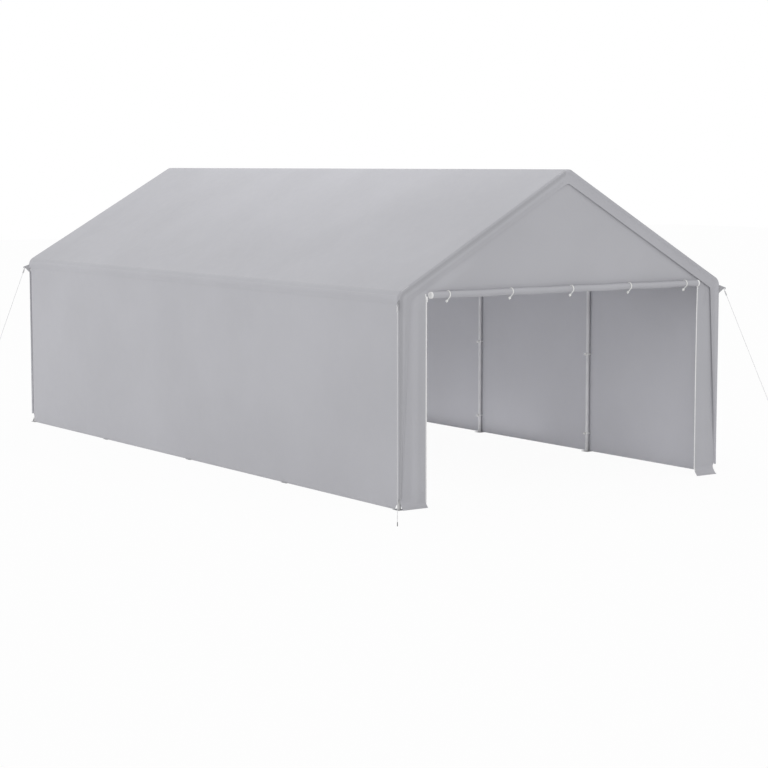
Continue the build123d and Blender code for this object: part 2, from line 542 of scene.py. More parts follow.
def leg_names(side: Side) -> list[str]:
    """Names of one side's legs, from front to rear."""
    return [f"{side.word}_leg_{number}" for number in range(1, FRAME_COUNT + 1)]


@dataclass(frozen=True)
class Layout:
    """Places and sizes of the carport in metres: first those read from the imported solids, then its own."""

    half_width: float
    cover_half: float
    valance_low: float
    band_face: float
    strip_low: float
    panel_face: float
    door_head: float
    door_half: float
    roll_radius: float
    roll_half: float
    roll_y: float
    wall_face: float
    wall_low: float
    wall_top: float
    leg_x: float
    leg_top: float
    tube_radius: float
    frame_places: Numbers
    eave_height: float = 2.01
    ridge_height: float = 3.152
    eave_radius: float = 0.1
    ridge_radius: float = 0.07
    panel_depth: float = 0.0086
    band_width: float = 0.125
    strip_top_width: float = 0.138
    strip_foot_width: float = 0.043
    fitting_radius: float = 0.022
    ball_radius: float = 0.013
    elastic_radius: float = 0.0032
    tie_pitch: float = 0.741
    tie_shift: float = 0.015
    tie_count: int = 5
    door_bow: float = 0.022
    roll_drop: float = 0.009
    wall_tie_heights: Numbers = (0.205, 1.09)
    hem_blur: float = 0.003
    hem_rise: float = 0.0012
    ridge_blend: float = 0.03

    @classmethod
    def from_frame(cls) -> "Layout":
        """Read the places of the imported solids.

        Returns:
            The layout of this carport.
        """
        roof_low, roof_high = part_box("roof_cover")
        band_low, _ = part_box("front_band")
        gable_low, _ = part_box("front_gable")
        jamb_low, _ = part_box("front_right_jamb")
        roll_low, roll_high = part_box("front_door_roll")
        wall_low, wall_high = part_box("left_wall")
        legs = [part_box(name) for name in leg_names(Side.RIGHT)]
        leg_low, leg_high = legs[0]
        return cls(
            half_width=roof_high.x,
            cover_half=roof_high.y,
            valance_low=roof_low.z,
            band_face=-band_low.y,
            strip_low=band_low.z,
            panel_face=-gable_low.y,
            door_head=gable_low.z,
            door_half=jamb_low.x,
            roll_radius=(roll_high.z - roll_low.z) / 2,
            roll_half=roll_high.x,
            roll_y=(roll_low.y + roll_high.y) / 2 - cls.door_bow,
            wall_face=-wall_low.x,
            wall_low=wall_low.z,
            wall_top=wall_high.z,
            leg_x=(leg_low.x + leg_high.x) / 2,
            leg_top=leg_high.z,
            tube_radius=(leg_high.x - leg_low.x) / 2,
            frame_places=tuple((low.y + high.y) / 2 for low, high in legs),
        )

    @property
    def slope(self) -> float:
        """Angle of the roof above the level."""
        return math.atan2(self.ridge_height - self.eave_height, self.half_width)

    @property
    def roll_height(self) -> float:
        """Height of the rolled curtain's middle."""
        return self.door_head - self.roll_drop

    @property
    def bay_count(self) -> int:
        """Number of bays between the frames."""
        return len(self.frame_places) - 1

    @property
    def tie_places(self) -> Array:
        """X places of the ball ties on a rolled curtain."""
        return (np.arange(self.tie_count) - (self.tie_count - 1) / 2) * self.tie_pitch + self.tie_shift

    def roof_line(self, x: float, depth: float) -> float:
        """Height of the roof plane at a distance x from the middle, a depth below the outer cloth."""
        return self.ridge_height - depth / math.cos(self.slope) - x * math.tan(self.slope)

    def arch(self, depth: float, foot: float, spans: Sequence[int], bend: int) -> Array:
        """Line of the carport's end, from one foot over the ridge to the other.

        Args:
            depth: how far it lies inside the outer cloth.
            foot: height of both its ends.
            spans: steps on the four straight runs.
            bend: steps on each arc.

        Returns:
            Points in X and Z, (n, 2).
        """
        x = self.half_width - depth
        eave = self.roof_line(x, depth)
        ridge = self.roof_line(0.0, depth)
        corners = np.array(((-x, foot), (-x, eave), (0.0, ridge), (x, eave), (x, foot)))
        radii = (self.eave_radius - depth, self.ridge_radius - depth, self.eave_radius - depth)
        return rounded_line(corners, radii, spans, bend)

    def between_frames(self, y: Array) -> Array:
        """Zero at every frame and one midway between two: sin^2 of pi times the share of the bay."""
        bay = self.frame_places[1] - self.frame_places[0]
        return np.square(np.sin(math.pi * (y - self.frame_places[0]) / bay))

    def foot_hem(self, z: Array) -> Array:
        """Rise of the doubled hem along the ground, with a smooth step down to nothing above it."""
        inside = self.wall_low + CoverCloth.hem_width - z
        return self.hem_rise * smooth_step(inside, -self.hem_blur, self.hem_blur)

    def right_half(self, x: Array) -> Array:
        """One on the right of the ridge and zero on the left, by a smooth step."""
        return smooth_step(x, -self.ridge_blend, self.ridge_blend)


# Shader nodes


class Wiring:
    """Short calls that add shader nodes to one tree and join them."""

    def __init__(self, tree: bpy.types.NodeTree) -> None:
        """Work on one node tree."""
        self.tree = tree

    def feed(self, target: Socket, value: object) -> None:
        """Link a socket to another, or set its own value."""
        if isinstance(value, Socket):
            self.tree.links.new(value, target)
        else:
            target.default_value = value

    def node(self, kind: str, inputs: dict | None = None, **settings: object) -> bpy.types.Node:
        """Add a node.

        Args:
            kind: type of the node.
            inputs: a socket or value for each named or numbered input.
            settings: properties of the node.

        Returns:
            The node.
        """
        made = self.tree.nodes.new(kind)
        for name, value in settings.items():
            setattr(made, name, value)
        for name, value in (inputs or {}).items():
            self.feed(made.inputs[name], value)
        return made

    def sum(self, operation: str, *terms: object) -> Socket:
        """Work out one sum of sockets and numbers."""
        return self.node("ShaderNodeMath", dict(enumerate(terms)), operation=operation).outputs[0]

    def ramp(self, value: Socket, low: object, high: object, start: float = 0.0, end: float = 1.0) -> Socket:
        """Go smoothly from start at low to end at high."""
        inputs = {0: value, 1: low, 2: high, 3: start, 4: end}
        return self.node("ShaderNodeMapRange", inputs, interpolation_type="SMOOTHSTEP").outputs[0]

    def mix(self, share: object, first: object, second: object) -> Socket:
        """Mix two colours, by the numbers that the node's colour sockets have."""
        inputs = {0: share, 6: first, 7: second}
        return self.node("ShaderNodeMix", inputs, data_type="RGBA").outputs[2]

    def scaled(self, place: Socket, scale: Triple) -> Socket:
        """Stretch a place along its three axes."""
        return self.node("ShaderNodeVectorMath", {0: place, 1: scale}, operation="MULTIPLY").outputs[0]

    def noise(self, place: Socket, scale: object, detail: float, rough: float = 0.5) -> Socket:
        """Read cloudy noise at a place."""
        inputs = {"Vector": place, "Scale": scale, "Detail": detail, "Roughness": rough}
        return self.node("ShaderNodeTexNoise", inputs).outputs[0]

    def parts(self, place: Socket) -> list[Socket]:
        """Split a vector into its three parts."""
        return list(self.node("ShaderNodeSeparateXYZ", {0: place}).outputs)

    def seen(self) -> Socket:
        """One where the camera, a reflection or glass shows the surface, and zero for other light."""
        path = self.node("ShaderNodeLightPath")
        direct = self.sum("MAXIMUM", path.outputs["Is Camera Ray"], path.outputs["Is Glossy Ray"])
        return self.sum("MAXIMUM", direct, path.outputs["Is Transmission Ray"])


class Effect(Enum):
    """Shader groups that several finishes share."""

    WEAVE = "weave of crossing tapes"
    CLOUD = "slow change of tone"
    SEAM = "sewn hem"
    DUST = "dust near the ground"


def new_group(
    effect: Effect, inputs: Sequence[str], outputs: Sequence[str]
) -> tuple[Wiring, dict[str, Socket], dict[str, Socket]]:
    """Open a shader group.

    Args:
        effect: which effect it makes.
        inputs: names of its inputs, where Place is a vector and the others are plain numbers.
        outputs: names of its outputs, all plain numbers.

    Returns:
        The wiring, the group's inputs by name and its output sockets by name.
    """
    tree = bpy.data.node_groups.new(effect.value, "ShaderNodeTree")
    for name in inputs:
        kind = "NodeSocketVector" if name == "Place" else "NodeSocketFloat"
        tree.interface.new_socket(name, in_out="INPUT", socket_type=kind)
    for name in outputs:
        tree.interface.new_socket(name, in_out="OUTPUT", socket_type="NodeSocketFloat")
    wiring = Wiring(tree)
    entry = tree.nodes.new("NodeGroupInput")
    leave = tree.nodes.new("NodeGroupOutput")
    return wiring, {s.name: s for s in entry.outputs}, {s.name: s for s in leave.inputs}


def make_weave() -> None:
    """Weave: crossing rows of tapes, sin(u) times sin(v) high, with a tone that changes by tape."""
    tape_scale = (40.0, 400.0, 1.0)
    w, given, out = new_group(Effect.WEAVE, ("Place", "Pitch"), ("Height", "Thread"))
    u, v, _ = w.parts(given["Place"])
    turns = w.sum("DIVIDE", math.pi, given["Pitch"])
    wave_u = w.sum("SINE", w.sum("MULTIPLY", u, turns))
    wave_v = w.sum("SINE", w.sum("MULTIPLY", v, turns))
    w.feed(out["Height"], w.sum("MULTIPLY_ADD", w.sum("MULTIPLY", wave_u, wave_v), 0.5, 0.5))
    w.feed(out["Thread"], w.noise(w.scaled(given["Place"], tape_scale), 1.0, 1.0))


def make_cloud() -> None:
    """Cloud: noise of two sizes, for a slow change of tone and a fine one."""
    slow_octaves, fine_octaves = 3.0, 4.0
    fine_ratio, fine_rough = 14.0, 0.6
    w, given, out = new_group(Effect.CLOUD, ("Place", "Scale"), ("Slow", "Fine"))
    w.feed(out["Slow"], w.noise(given["Place"], given["Scale"], slow_octaves))
    fine_scale = w.sum("MULTIPLY", given["Scale"], fine_ratio)
    w.feed(out["Fine"], w.noise(given["Place"], fine_scale, fine_octaves, fine_rough))


def make_seam() -> None:
    """Seam: a doubled strip along a sewn edge, with dashes of thread near its inner side."""
    fade_share, row_share, dash_share = 1.08, 0.86, 0.62
    thread_half = 0.0011
    inputs = ("Edge", "Along", "Width", "Stitch")
    w, given, out = new_group(Effect.SEAM, inputs, ("Doubled", "Thread", "Height"))
    # The strip is a doubled hem, and on the roof's eave and the band's rim it is painted shade.
    doubled = w.ramp(given["Edge"], w.sum("MULTIPLY", given["Width"], fade_share), given["Width"])
    row = w.sum("MULTIPLY", given["Width"], row_share)
    near_row = w.sum("COMPARE", given["Edge"], row, thread_half)
    dash = w.sum("FRACT", w.sum("DIVIDE", given["Along"], given["Stitch"]))
    thread = w.sum("MULTIPLY", near_row, w.sum("LESS_THAN", dash, dash_share))
    w.feed(out["Doubled"], doubled)
    w.feed(out["Thread"], thread)
    w.feed(out["Height"], w.sum("ADD", doubled, thread))


def make_dust() -> None:
    """Dust: thick at the ground, thinning to nothing at a height, broken up by noise."""
    scale, octaves = 23.0, 5.0
    bare, full = 0.3, 0.75
    w, given, out = new_group(Effect.DUST, ("Place", "Reach"), ("Cover",))
    _, _, height = w.parts(given["Place"])
    fade = w.ramp(height, 0.0, given["Reach"], 1.0, 0.0)
    broken = w.ramp(w.noise(given["Place"], scale, octaves), bare, full)
    w.feed(out["Cover"], w.sum("MULTIPLY", fade, broken))


def tone(red: float, green: float, blue: float) -> Numbers:
    """Turn a display colour, 0 to 255, into linear colour by the display's curve, with an alpha of one."""
    shown = np.array((red, green, blue)) / 255.0
    return (*np.where(shown <= 0.04045, shown / 12.92, ((shown + 0.055) / 1.055) ** 2.4).tolist(), 1.0)


def emptied(owner: Material | bpy.types.World) -> bpy.types.NodeTree:
    """Node tree of a material or world, with nothing in it."""
    owner.use_nodes = True
    owner.node_tree.nodes.clear()
    return owner.node_tree


class Coat(Wiring):
    """Wiring of one material: its main shader, and the places that its patterns follow."""

    def __init__(self, name: str) -> None:
        """Make an empty material around a main shader."""
        self.material = bpy.data.materials.new(name)
        super().__init__(emptied(self.material))
        self.shader = self.node("ShaderNodeBsdfPrincipled")
        self.node("ShaderNodeOutputMaterial", {0: self.shader.outputs[0]})
        where = self.node("ShaderNodeTexCoord")
        self.place = where.outputs["Object"]
        self.on_cloth = where.outputs["UV"]

    def give(self, name: str, value: object) -> None:
        """Feed one input of the main shader."""
        self.feed(self.shader.inputs[name], value)

    def effect(self, effect: Effect, **inputs: object) -> dict[str, Socket]:
        """Put a shared effect in the material.

        Args:
            effect: which effect.
            inputs: a socket or value for each of its inputs, by name in small letters.

        Returns:
            The effect's outputs by name.
        """
        made = self.node("ShaderNodeGroup", node_tree=bpy.data.node_groups[effect.value])
        for name, value in inputs.items():
            self.feed(made.inputs[name.capitalize()], value)
        return {socket.name: socket for socket in made.outputs}


@dataclass(frozen=True)
class Finish:
    """What all finishes share: a colour in display values, and how it, the gloss and the relief change.

    The slow clouds take the tone from one of the slow_levels to the other, and the fine ones add to the
    roughness by gloss_span. Dust covers up to dust_share of the colour, from the ground to dust_reach.
    """

    name: str
    colour: Triple
    roughness: float
    cloud_scale: float = 30.0
    slow_span: Pair = (0.3, 0.7)
    slow_levels: Pair = (0.95, 1.03)
    fine_span: Pair = (0.2, 0.8)
    gloss_span: Pair = (-0.08, 0.08)
    dust_reach: float = 0.1
    dust_share: float = 0.25
    dust_colour: Triple = (150, 143, 132)
    bump_strength: float = 0.1
    bump_depth: float = 0.0003

    def clouds(self, coat: Coat) -> tuple[Socket, Socket]:
        """Put in the clouds: the share of the colour that the slow ones leave, and the fine ones."""
        cloud = coat.effect(Effect.CLOUD, place=coat.place, scale=self.cloud_scale)
        return coat.ramp(cloud["Slow"], *self.slow_span, *self.slow_levels), cloud["Fine"]

    def shaded(self, coat: Coat, level: Socket) -> Socket:
        """The finish's colour times a level."""
        inputs = {0: tone(*self.colour)[:3], "Scale": level}
        return coat.node("ShaderNodeVectorMath", inputs, operation="SCALE").outputs[0]

    def dusted(self, coat: Coat, shade: Socket) -> Socket:
        """A colour under the dust near the ground."""
        cover = coat.effect(Effect.DUST, place=coat.place, reach=self.dust_reach)["Cover"]
        return coat.mix(coat.sum("MULTIPLY", cover, self.dust_share), shade, tone(*self.dust_colour))

    def rub(self, coat: Coat, change: Socket, span: Pair = (0.0, 1.0)) -> None:
        """Let the roughness follow a change over the surface, between two values of it."""
        start, end = (self.roughness + added for added in self.gloss_span)
        coat.give("Roughness", coat.ramp(change, *span, start, end))

    def bump(self, coat: Coat, height: Socket) -> None:
        """Raise the surface by a height."""
        inputs = {"Strength": self.bump_strength, "Distance": self.bump_depth, "Height": height}
        coat.give("Normal", coat.node("ShaderNodeBump", inputs).outputs[0])


@dataclass(frozen=True)
class CoverCloth(Finish):
    """Woven polyethylene sheet, coated and slightly glossy, with sewn hems."""

    cloud_scale: float = 0.8
    slow_span: Pair = (0.25, 0.75)
    slow_levels: Pair = (0.965, 1.03)
    gloss_span: Pair = (-0.05, 0.07)
    dust_reach: float = 0.16
    dust_share: float = 0.05
    dust_colour: Triple = (150, 145, 138)
    bump_strength: float = 0.22
    bump_depth: float = 0.0006
    weave_pitch: float = 0.0032
    tape_span: Pair = (0.2, 0.8)
    tape_levels: Pair = (0.985, 1.015)
    hem_width: float = 0.028
    # Colour level inside the strip: a doubled hem, and painted shade on the roof's eave and the band's rim
    hem_and_painted_shade: float = 0.97
    stitch_length: float = 0.009
    stitch_share: float = 0.5
    stitch_colour: Triple = (205, 205, 208)
    seam_rise: float = 1.6
    fine_rise: float = 0.8
    specular: float = 0.32

    def material(self) -> Material:
        """Build the cloth's material.

        Returns:
            Grey cloth with weave, slow mottling, doubled hems with stitching, strips of painted shade, and
            dust at the foot.
        """
        coat = Coat(self.name)
        edge = coat.node("ShaderNodeAttribute", attribute_name="hem").outputs["Fac"]
        along = coat.parts(coat.on_cloth)[0]
        weave = coat.effect(Effect.WEAVE, place=coat.on_cloth, pitch=self.weave_pitch)
        slow, fine = self.clouds(coat)
        seam = coat.effect(
            Effect.SEAM, edge=edge, along=along, width=self.hem_width, stitch=self.stitch_length
        )
        level = coat.sum("MULTIPLY", slow, coat.ramp(weave["Thread"], *self.tape_span, *self.tape_levels))
        # Darker inside the strip: a doubled hem on walls and jambs, painted shade on the roof's eave and the
        # band's rim
        doubled = coat.ramp(seam["Doubled"], 0.0, 1.0, 1.0, self.hem_and_painted_shade)
        shade = self.shaded(coat, coat.sum("MULTIPLY", level, doubled))
        stitched = coat.sum("MULTIPLY", seam["Thread"], self.stitch_share)
        sewn = coat.mix(stitched, shade, tone(*self.stitch_colour))
        coat.give("Base Color", self.dusted(coat, sewn))
        self.rub(coat, fine, self.fine_span)
        height = coat.sum("MULTIPLY_ADD", seam["Height"], self.seam_rise, weave["Height"])
        self.bump(coat, coat.sum("MULTIPLY_ADD", fine, self.fine_rise, height))
        coat.give("Specular IOR Level", self.specular)
        return coat.material


@dataclass(frozen=True)
class PaintedSteel(Finish):
    """Powder-coated steel tube, with a fine orange-peel skin and scuffs down to the zinc."""

    cloud_scale: float = 6.0
    gloss_span: Pair = (0.0, 0.2)
    dust_reach: float = 0.22
    dust_share: float = 0.35
    dust_colour: Triple = (140, 134, 124)
    bump_strength: float = 0.12
    bump_depth: float = 0.0004
    scuff_scale: Triple = (60.0, 60.0, 9.0)
    scuff_detail: float = 6.0
    scuff_rough: float = 0.65
    scuff_span: Pair = (0.66, 0.74)
    scuff_share: float = 0.5
    scuff_colour: Triple = (150, 152, 155)
    scuff_metal: float = 0.35
    peel_scale: float = 900.0
    peel_detail: float = 2.0

    def material(self) -> Material:
        """Build the paint's material.

        Returns:
            Off-white paint with faint mottling, scuffs and dust at the foot.
        """
        coat = Coat(self.name)
        slow, _ = self.clouds(coat)
        stretched = coat.scaled(coat.place, self.scuff_scale)
        marks = coat.noise(stretched, 1.0, self.scuff_detail, self.scuff_rough)
        scuff = coat.ramp(marks, *self.scuff_span)
        worn = coat.sum("MULTIPLY", scuff, self.scuff_share)
        shade = coat.mix(worn, self.shaded(coat, slow), tone(*self.scuff_colour))
        coat.give("Base Color", self.dusted(coat, shade))
        self.rub(coat, scuff)
        coat.give("Metallic", coat.sum("MULTIPLY", scuff, self.scuff_metal))
        self.bump(coat, coat.noise(coat.place, self.peel_scale, self.peel_detail))
        return coat.material


@dataclass(frozen=True)
class GalvanisedSteel(Finish):
    """Hot-dipped steel with crystal spangle and dull streaks."""

    cloud_scale: float = 9.0
    slow_levels: Pair = (0.9, 1.05)
    gloss_span: Pair = (-0.08, 0.1)
    dust_reach: float = 0.06
    dust_share: float = 0.4
    dust_colour: Triple = (126, 118, 106)
    bump_strength: float = 0.15
    bump_depth: float = 0.0005
    crystal_scale: float = 160.0
    crystal_levels: Pair = (0.86, 1.08)
    metal: float = 0.75

    def material(self) -> Material:
        """Build the zinc's material.

        Returns:
            Grey metal whose tone and gloss change from crystal to crystal.
        """
        coat = Coat(self.name)
        inputs = {"Vector": coat.place, "Scale": self.crystal_scale}
        crystal = coat.node("ShaderNodeTexVoronoi", inputs).outputs["Color"]
        grain = coat.parts(crystal)[0]
        slow, fine = self.clouds(coat)
        level = coat.sum("MULTIPLY", coat.ramp(grain, 0.0, 1.0, *self.crystal_levels), slow)
        coat.give("Base Color", self.dusted(coat, self.shaded(coat, level)))
        self.rub(coat, grain)
        coat.give("Metallic", self.metal)
        self.bump(coat, fine)
        return coat.material


@dataclass(frozen=True)
class Yarn(Finish):
    """Woven or twisted yarn: zip tape, webbing, elastic and rope."""

    cloud_scale: float = 24.0
    slow_levels: Pair = (0.96, 1.02)
    gloss_span: Pair = (-0.06, 0.06)
    bump_strength: float = 0.35
    bump_depth: float = 0.0005
    pitch: float = 0.0012
    contrast: float = 0.1
    sheen: float = 0.15

    def material(self) -> Material:
        """Build the yarn's material.

        Returns:
            Woven threads with a tone that changes along them, and a soft sheen.
        """
        coat = Coat(self.name)
        weave = coat.effect(Effect.WEAVE, place=coat.on_cloth, pitch=self.pitch)
        slow, fine = self.clouds(coat)
        threads = coat.ramp(weave["Height"], 0.0, 1.0, 1.0 - self.contrast, 1.0 + self.contrast / 2)
        shade = self.shaded(coat, coat.sum("MULTIPLY", threads, slow))
        coat.give("Base Color", self.dusted(coat, shade))
        self.rub(coat, fine, self.fine_span)
        self.bump(coat, weave["Height"])
        coat.give("Sheen Weight", self.sheen)
        return coat.material


@dataclass(frozen=True)
class MouldedPlastic(Finish):
    """Moulded plastic with a faint grain: balls, knots and rope clips."""

    def material(self) -> Material:
        """Build the plastic's material.

        Returns:
            Smooth plastic with a fine grain and slight clouds of tone.
        """
        coat = Coat(self.name)
        slow, fine = self.clouds(coat)
        coat.give("Base Color", self.shaded(coat, slow))
        self.rub(coat, fine, self.fine_span)
        self.bump(coat, fine)
        return coat.material


class Palette:
    """All finishes of the carport as materials."""

    def __init__(self) -> None:
        """Make the shared effects, then every material."""
        for make_effect in (make_weave, make_cloud, make_seam, make_dust):
            make_effect()
        cover_grey = (180, 180, 185)
        self.cloth = CoverCloth("cover cloth", cover_grey, 0.55).material()
        # The band cloth is darkened to 0.87 in its strip: painted shade along the left half of the band's
        # outer rim
        self.band = CoverCloth("band cloth with painted shade", cover_grey, 0.55, hem_and_painted_shade=0.87).material()
        self.paint = PaintedSteel("white paint", (208, 208, 210), 0.4).material()
        self.zinc = GalvanisedSteel("zinc coat", (178, 180, 183), 0.45).material()
        self.dull_zinc = GalvanisedSteel("dull zinc coat", (112, 113, 116), 0.5).material()
        self.zip_tape = Yarn("zip tape", (240, 240, 240), 0.6).material()
        self.white_plastic = MouldedPlastic("white plastic", (240, 240, 238), 0.35).material()
        self.pale_plastic = MouldedPlastic("pale plastic", (196, 196, 198), 0.45).material()
        self.elastic = Yarn("white elastic", (238, 238, 236), 0.65).material()
        self.webbing = Yarn("grey webbing", (162, 162, 166), 0.75, pitch=0.0016, contrast=0.2).material()
        self.rope = Yarn("white rope", (222, 222, 224), 0.6, pitch=0.0009, contrast=0.06).material()


def add_piece(patch: Patch, name: str, finish: Material, replaced: Sequence[str] = ()) -> Object:
    """Put a surface in the scene as a piece of the carport.

    Args:
        patch: the surface.
        name: name of the piece.
        finish: its material.
        replaced: solids that it stands for.

    Returns:
        The piece.
    """
    piece = patch.to_object(name, finish)
    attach(piece, "root")
    if replaced:
        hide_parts(*replaced)
    logger.info("%s: %d faces", name, len(piece.data.polygons))
    return piece


# Cover cloth


@dataclass
class RoofCloth:
    """One sheet over the ridge and round the eaves, standing a little over both end bands."""

    layout: Layout
    palette: Palette
    thickness: float = 0.002
    sag: float = 0.009
    ripple: float = 0.0012
    ripple_pace: Numbers = (5.3, 1.7, 2.9, 0.6)
    ridge_margin: float = 0.05
    eave_margin: float = 0.07
    lip: float = 0.012
    setback: float = 0.034
    setback_reach: float = 0.3
    # Middle and half width of a strip of painted shade round the eave bend, measured from the lower edge
    painted_shade_middle: float = 0.1085
    painted_shade_half: float = 0.0385
    crease: float = 0.011
    crease_reach: float = 0.035
    crease_start: Pair = (0.05, 0.4)
    curl_radius: float = 0.005
    edge_reach: float = 0.04
    edge_press: float = 0.003
    edge_thickness: float = 0.0006
    arch_spans: Counts = (5, 44, 44, 5)
    bend_steps: int = 10
    bay_steps: int = 22
    end_steps: int = 8

    @property
    def curl_start(self) -> float:
        """Distance from the middle at which the ends start to curl in."""
        return self.layout.cover_half + self.lip - self.curl_radius

    def stations(self) -> Array:
        """Y places of the cross lines: even steps, and sin of a quarter turn in the curled ends.

        Returns:
            The places, from front to rear.
        """
        start = self.curl_start
        turn = np.linspace(0.0, 1.0, self.end_steps + 1)[1:] * math.pi / 2
        curl = start + np.sin(turn) * self.curl_radius
        middle = np.linspace(-start, start, self.bay_steps * self.layout.bay_count + 1)
        return np.concatenate((-curl[::-1], middle, curl))

    def drop(self, line: Array, length: Array, y: Array) -> Array:
        """How far each point lies inside the arch line.

        The sag is sin^2 along the bay times sin up the slope, with a product of two sines as ripples. A bell
        draws the cloth out at the eaves, and a quarter circle, radius - sqrt(radius^2 - distance^2), curls
        the ends in.

        Args:
            line: points of the arch line, (n, 2).
            length: distance along that line at each point.
            y: places along the carport.

        Returns:
            The distances, (n, number of places).
        """
        lay = self.layout
        run = length[:, None]
        span = lay.half_width - self.ridge_margin - self.eave_margin
        share = np.clip((np.abs(line[:, :1]) - self.ridge_margin) / span, 0.0, 1.0)
        bays = lay.between_frames(np.clip(y, -self.curl_start, self.curl_start))
        up, slant, along, rise = self.ripple_pace
        waves = np.sin(up * run + slant * y) * np.sin(along * y + rise * run)
        sagging = np.sin(math.pi * share) * (self.sag * bays + self.ripple * (1.0 + waves))
        corner = np.hypot(np.abs(line[:, :1]) - lay.half_width, line[:, 1:] - lay.eave_height)
        inside = smooth_step(lay.cover_half - np.abs(y), *self.crease_start)
        creased = self.crease * bell(corner - corner.min(), self.crease_reach) * inside
        past = np.clip(np.abs(y) - self.curl_start, 0.0, self.curl_radius)
        curled = self.curl_radius - np.sqrt(np.maximum(self.curl_radius**2 - past**2, 0.0))
        return sagging - creased + curled

    def build(self) -> None:
        """Make the sheet: the arch line, carried along Y and moved inwards by the drop.

        Towards the lower edges a smooth step thins the cloth and presses it on the walls. At each end one
        slope is drawn back a little from the band and the other stands over it.
        """
        lay = self.layout
        line = lay.arch(0.0, lay.valance_low, self.arch_spans, self.bend_steps)
        length = run_length(line)
        from_edge = np.minimum(length, length[-1] - length)[:, None]
        near_edge = smooth_step(self.edge_reach - from_edge, 0.0, self.edge_reach)
        thickness = self.thickness + (self.edge_thickness - self.thickness) * near_edge
        y = self.stations()
        drop = self.drop(line, length, y) + self.edge_press * near_edge
        direction = unit(np.gradient(line, axis=0))
        inward = np.stack((direction[:, 1], -direction[:, 0]), axis=1)
        x, z = (line[:, part, None] + inward[:, part, None] * drop for part in range(2))
        ends = np.sign(y) * smooth_step(np.abs(y), lay.cover_half - self.setback_reach, lay.cover_half)
        far_side = lay.right_half(line[:, :1] * ends)
        points = grid(x, y - self.setback * ends * far_side * np.abs(ends), z)
        # Painted shade: a darker strip round the eave bend, with stitch rows at its borders
        hem = np.abs(from_edge - self.painted_shade_middle) * (CoverCloth.hem_width / self.painted_shade_half)
        patch = shell(points, thickness, grid(y, length[:, None]), hem)
        roof = add_piece(patch, "roof_cloth", self.palette.cloth, ["roof_cover"])


@dataclass
class SideWall:
    """Wall cloth of one long side, hung behind the roof's valance and tied to the middle legs."""

    layout: Layout
    palette: Palette
    side: Side
    thickness: float = 0.002
    belly: float = 0.005
    dimple: float = 0.001
    dimple_reach: float = 0.07
    fold: float = 0.0012
    fold_fade: float = 0.5
    fold_pace: Numbers = (9.1, 2.2, 3.7)
    fold_phase: float = 1.3
    corner_cut: float = 0.06
    cut_height: float = 0.115
    end_gap: float = 0.042
    end_reach: float = 0.35
    bay_steps: int = 24
    rise_steps: int = 46
    rise_lean: float = 0.35

    def depth(self, y: Array, z: Array) -> Array:
        """How far the cloth lies behind the wall's face.

        The belly is sin^2 along the bay times sin up the wall, with a bell at each tie. The folds are a
        product of two sines, and the hem along the ground stands out.

        Args:
            y: places along the wall, (n, 1).
            z: heights.

        Returns:
            The distances, (n, number of heights).
        """
        lay = self.layout
        rise = (z - lay.wall_low) / (lay.wall_top - lay.wall_low)
        upward = np.sin(math.pi * rise)
        depth = self.belly * lay.between_frames(y) * upward
        for leg in lay.frame_places[1:-1]:
            for height in lay.wall_tie_heights:
                depth = depth + self.dimple * bell(np.hypot(y - leg, z - height), self.dimple_reach)
        along, slant, slow = self.fold_pace
        creases = np.sin(along * y + slant * z) * np.sin(slow * y - self.fold_phase)
        depth = depth + self.fold * upward * (1.0 - self.fold_fade * rise) * (1.0 + creases)
        return depth - lay.foot_hem(z)

    def build(self) -> None:
        """Make the wall over a grid of Y and Z.

        The lower ends draw back from the corner legs by smooth steps, and one end stops short of its corner.
        """
        lay = self.layout
        name = f"{self.side.word}_wall"
        y = np.linspace(-lay.cover_half, lay.cover_half, self.bay_steps * lay.bay_count + 1)[:, None]
        z = graded(lay.wall_low, lay.wall_top, self.rise_steps, self.rise_lean)
        start = lay.cover_half - self.end_reach
        cut = self.corner_cut * smooth_step(self.cut_height - z, 0.0, self.cut_height)
        drawn = smooth_step(np.abs(y), start, lay.cover_half) * cut
        short = self.end_gap * smooth_step(-self.side.value * y, start, lay.cover_half)
        across = self.side.value * (lay.wall_face - self.depth(y, z))
        points = grid(across, y - np.sign(y) * (drawn + short), z)
        patch = shell(points, self.thickness, grid(y, z), z - lay.wall_low)
        wall = add_piece(patch, f"{name}_cloth", self.palette.cloth, [name])


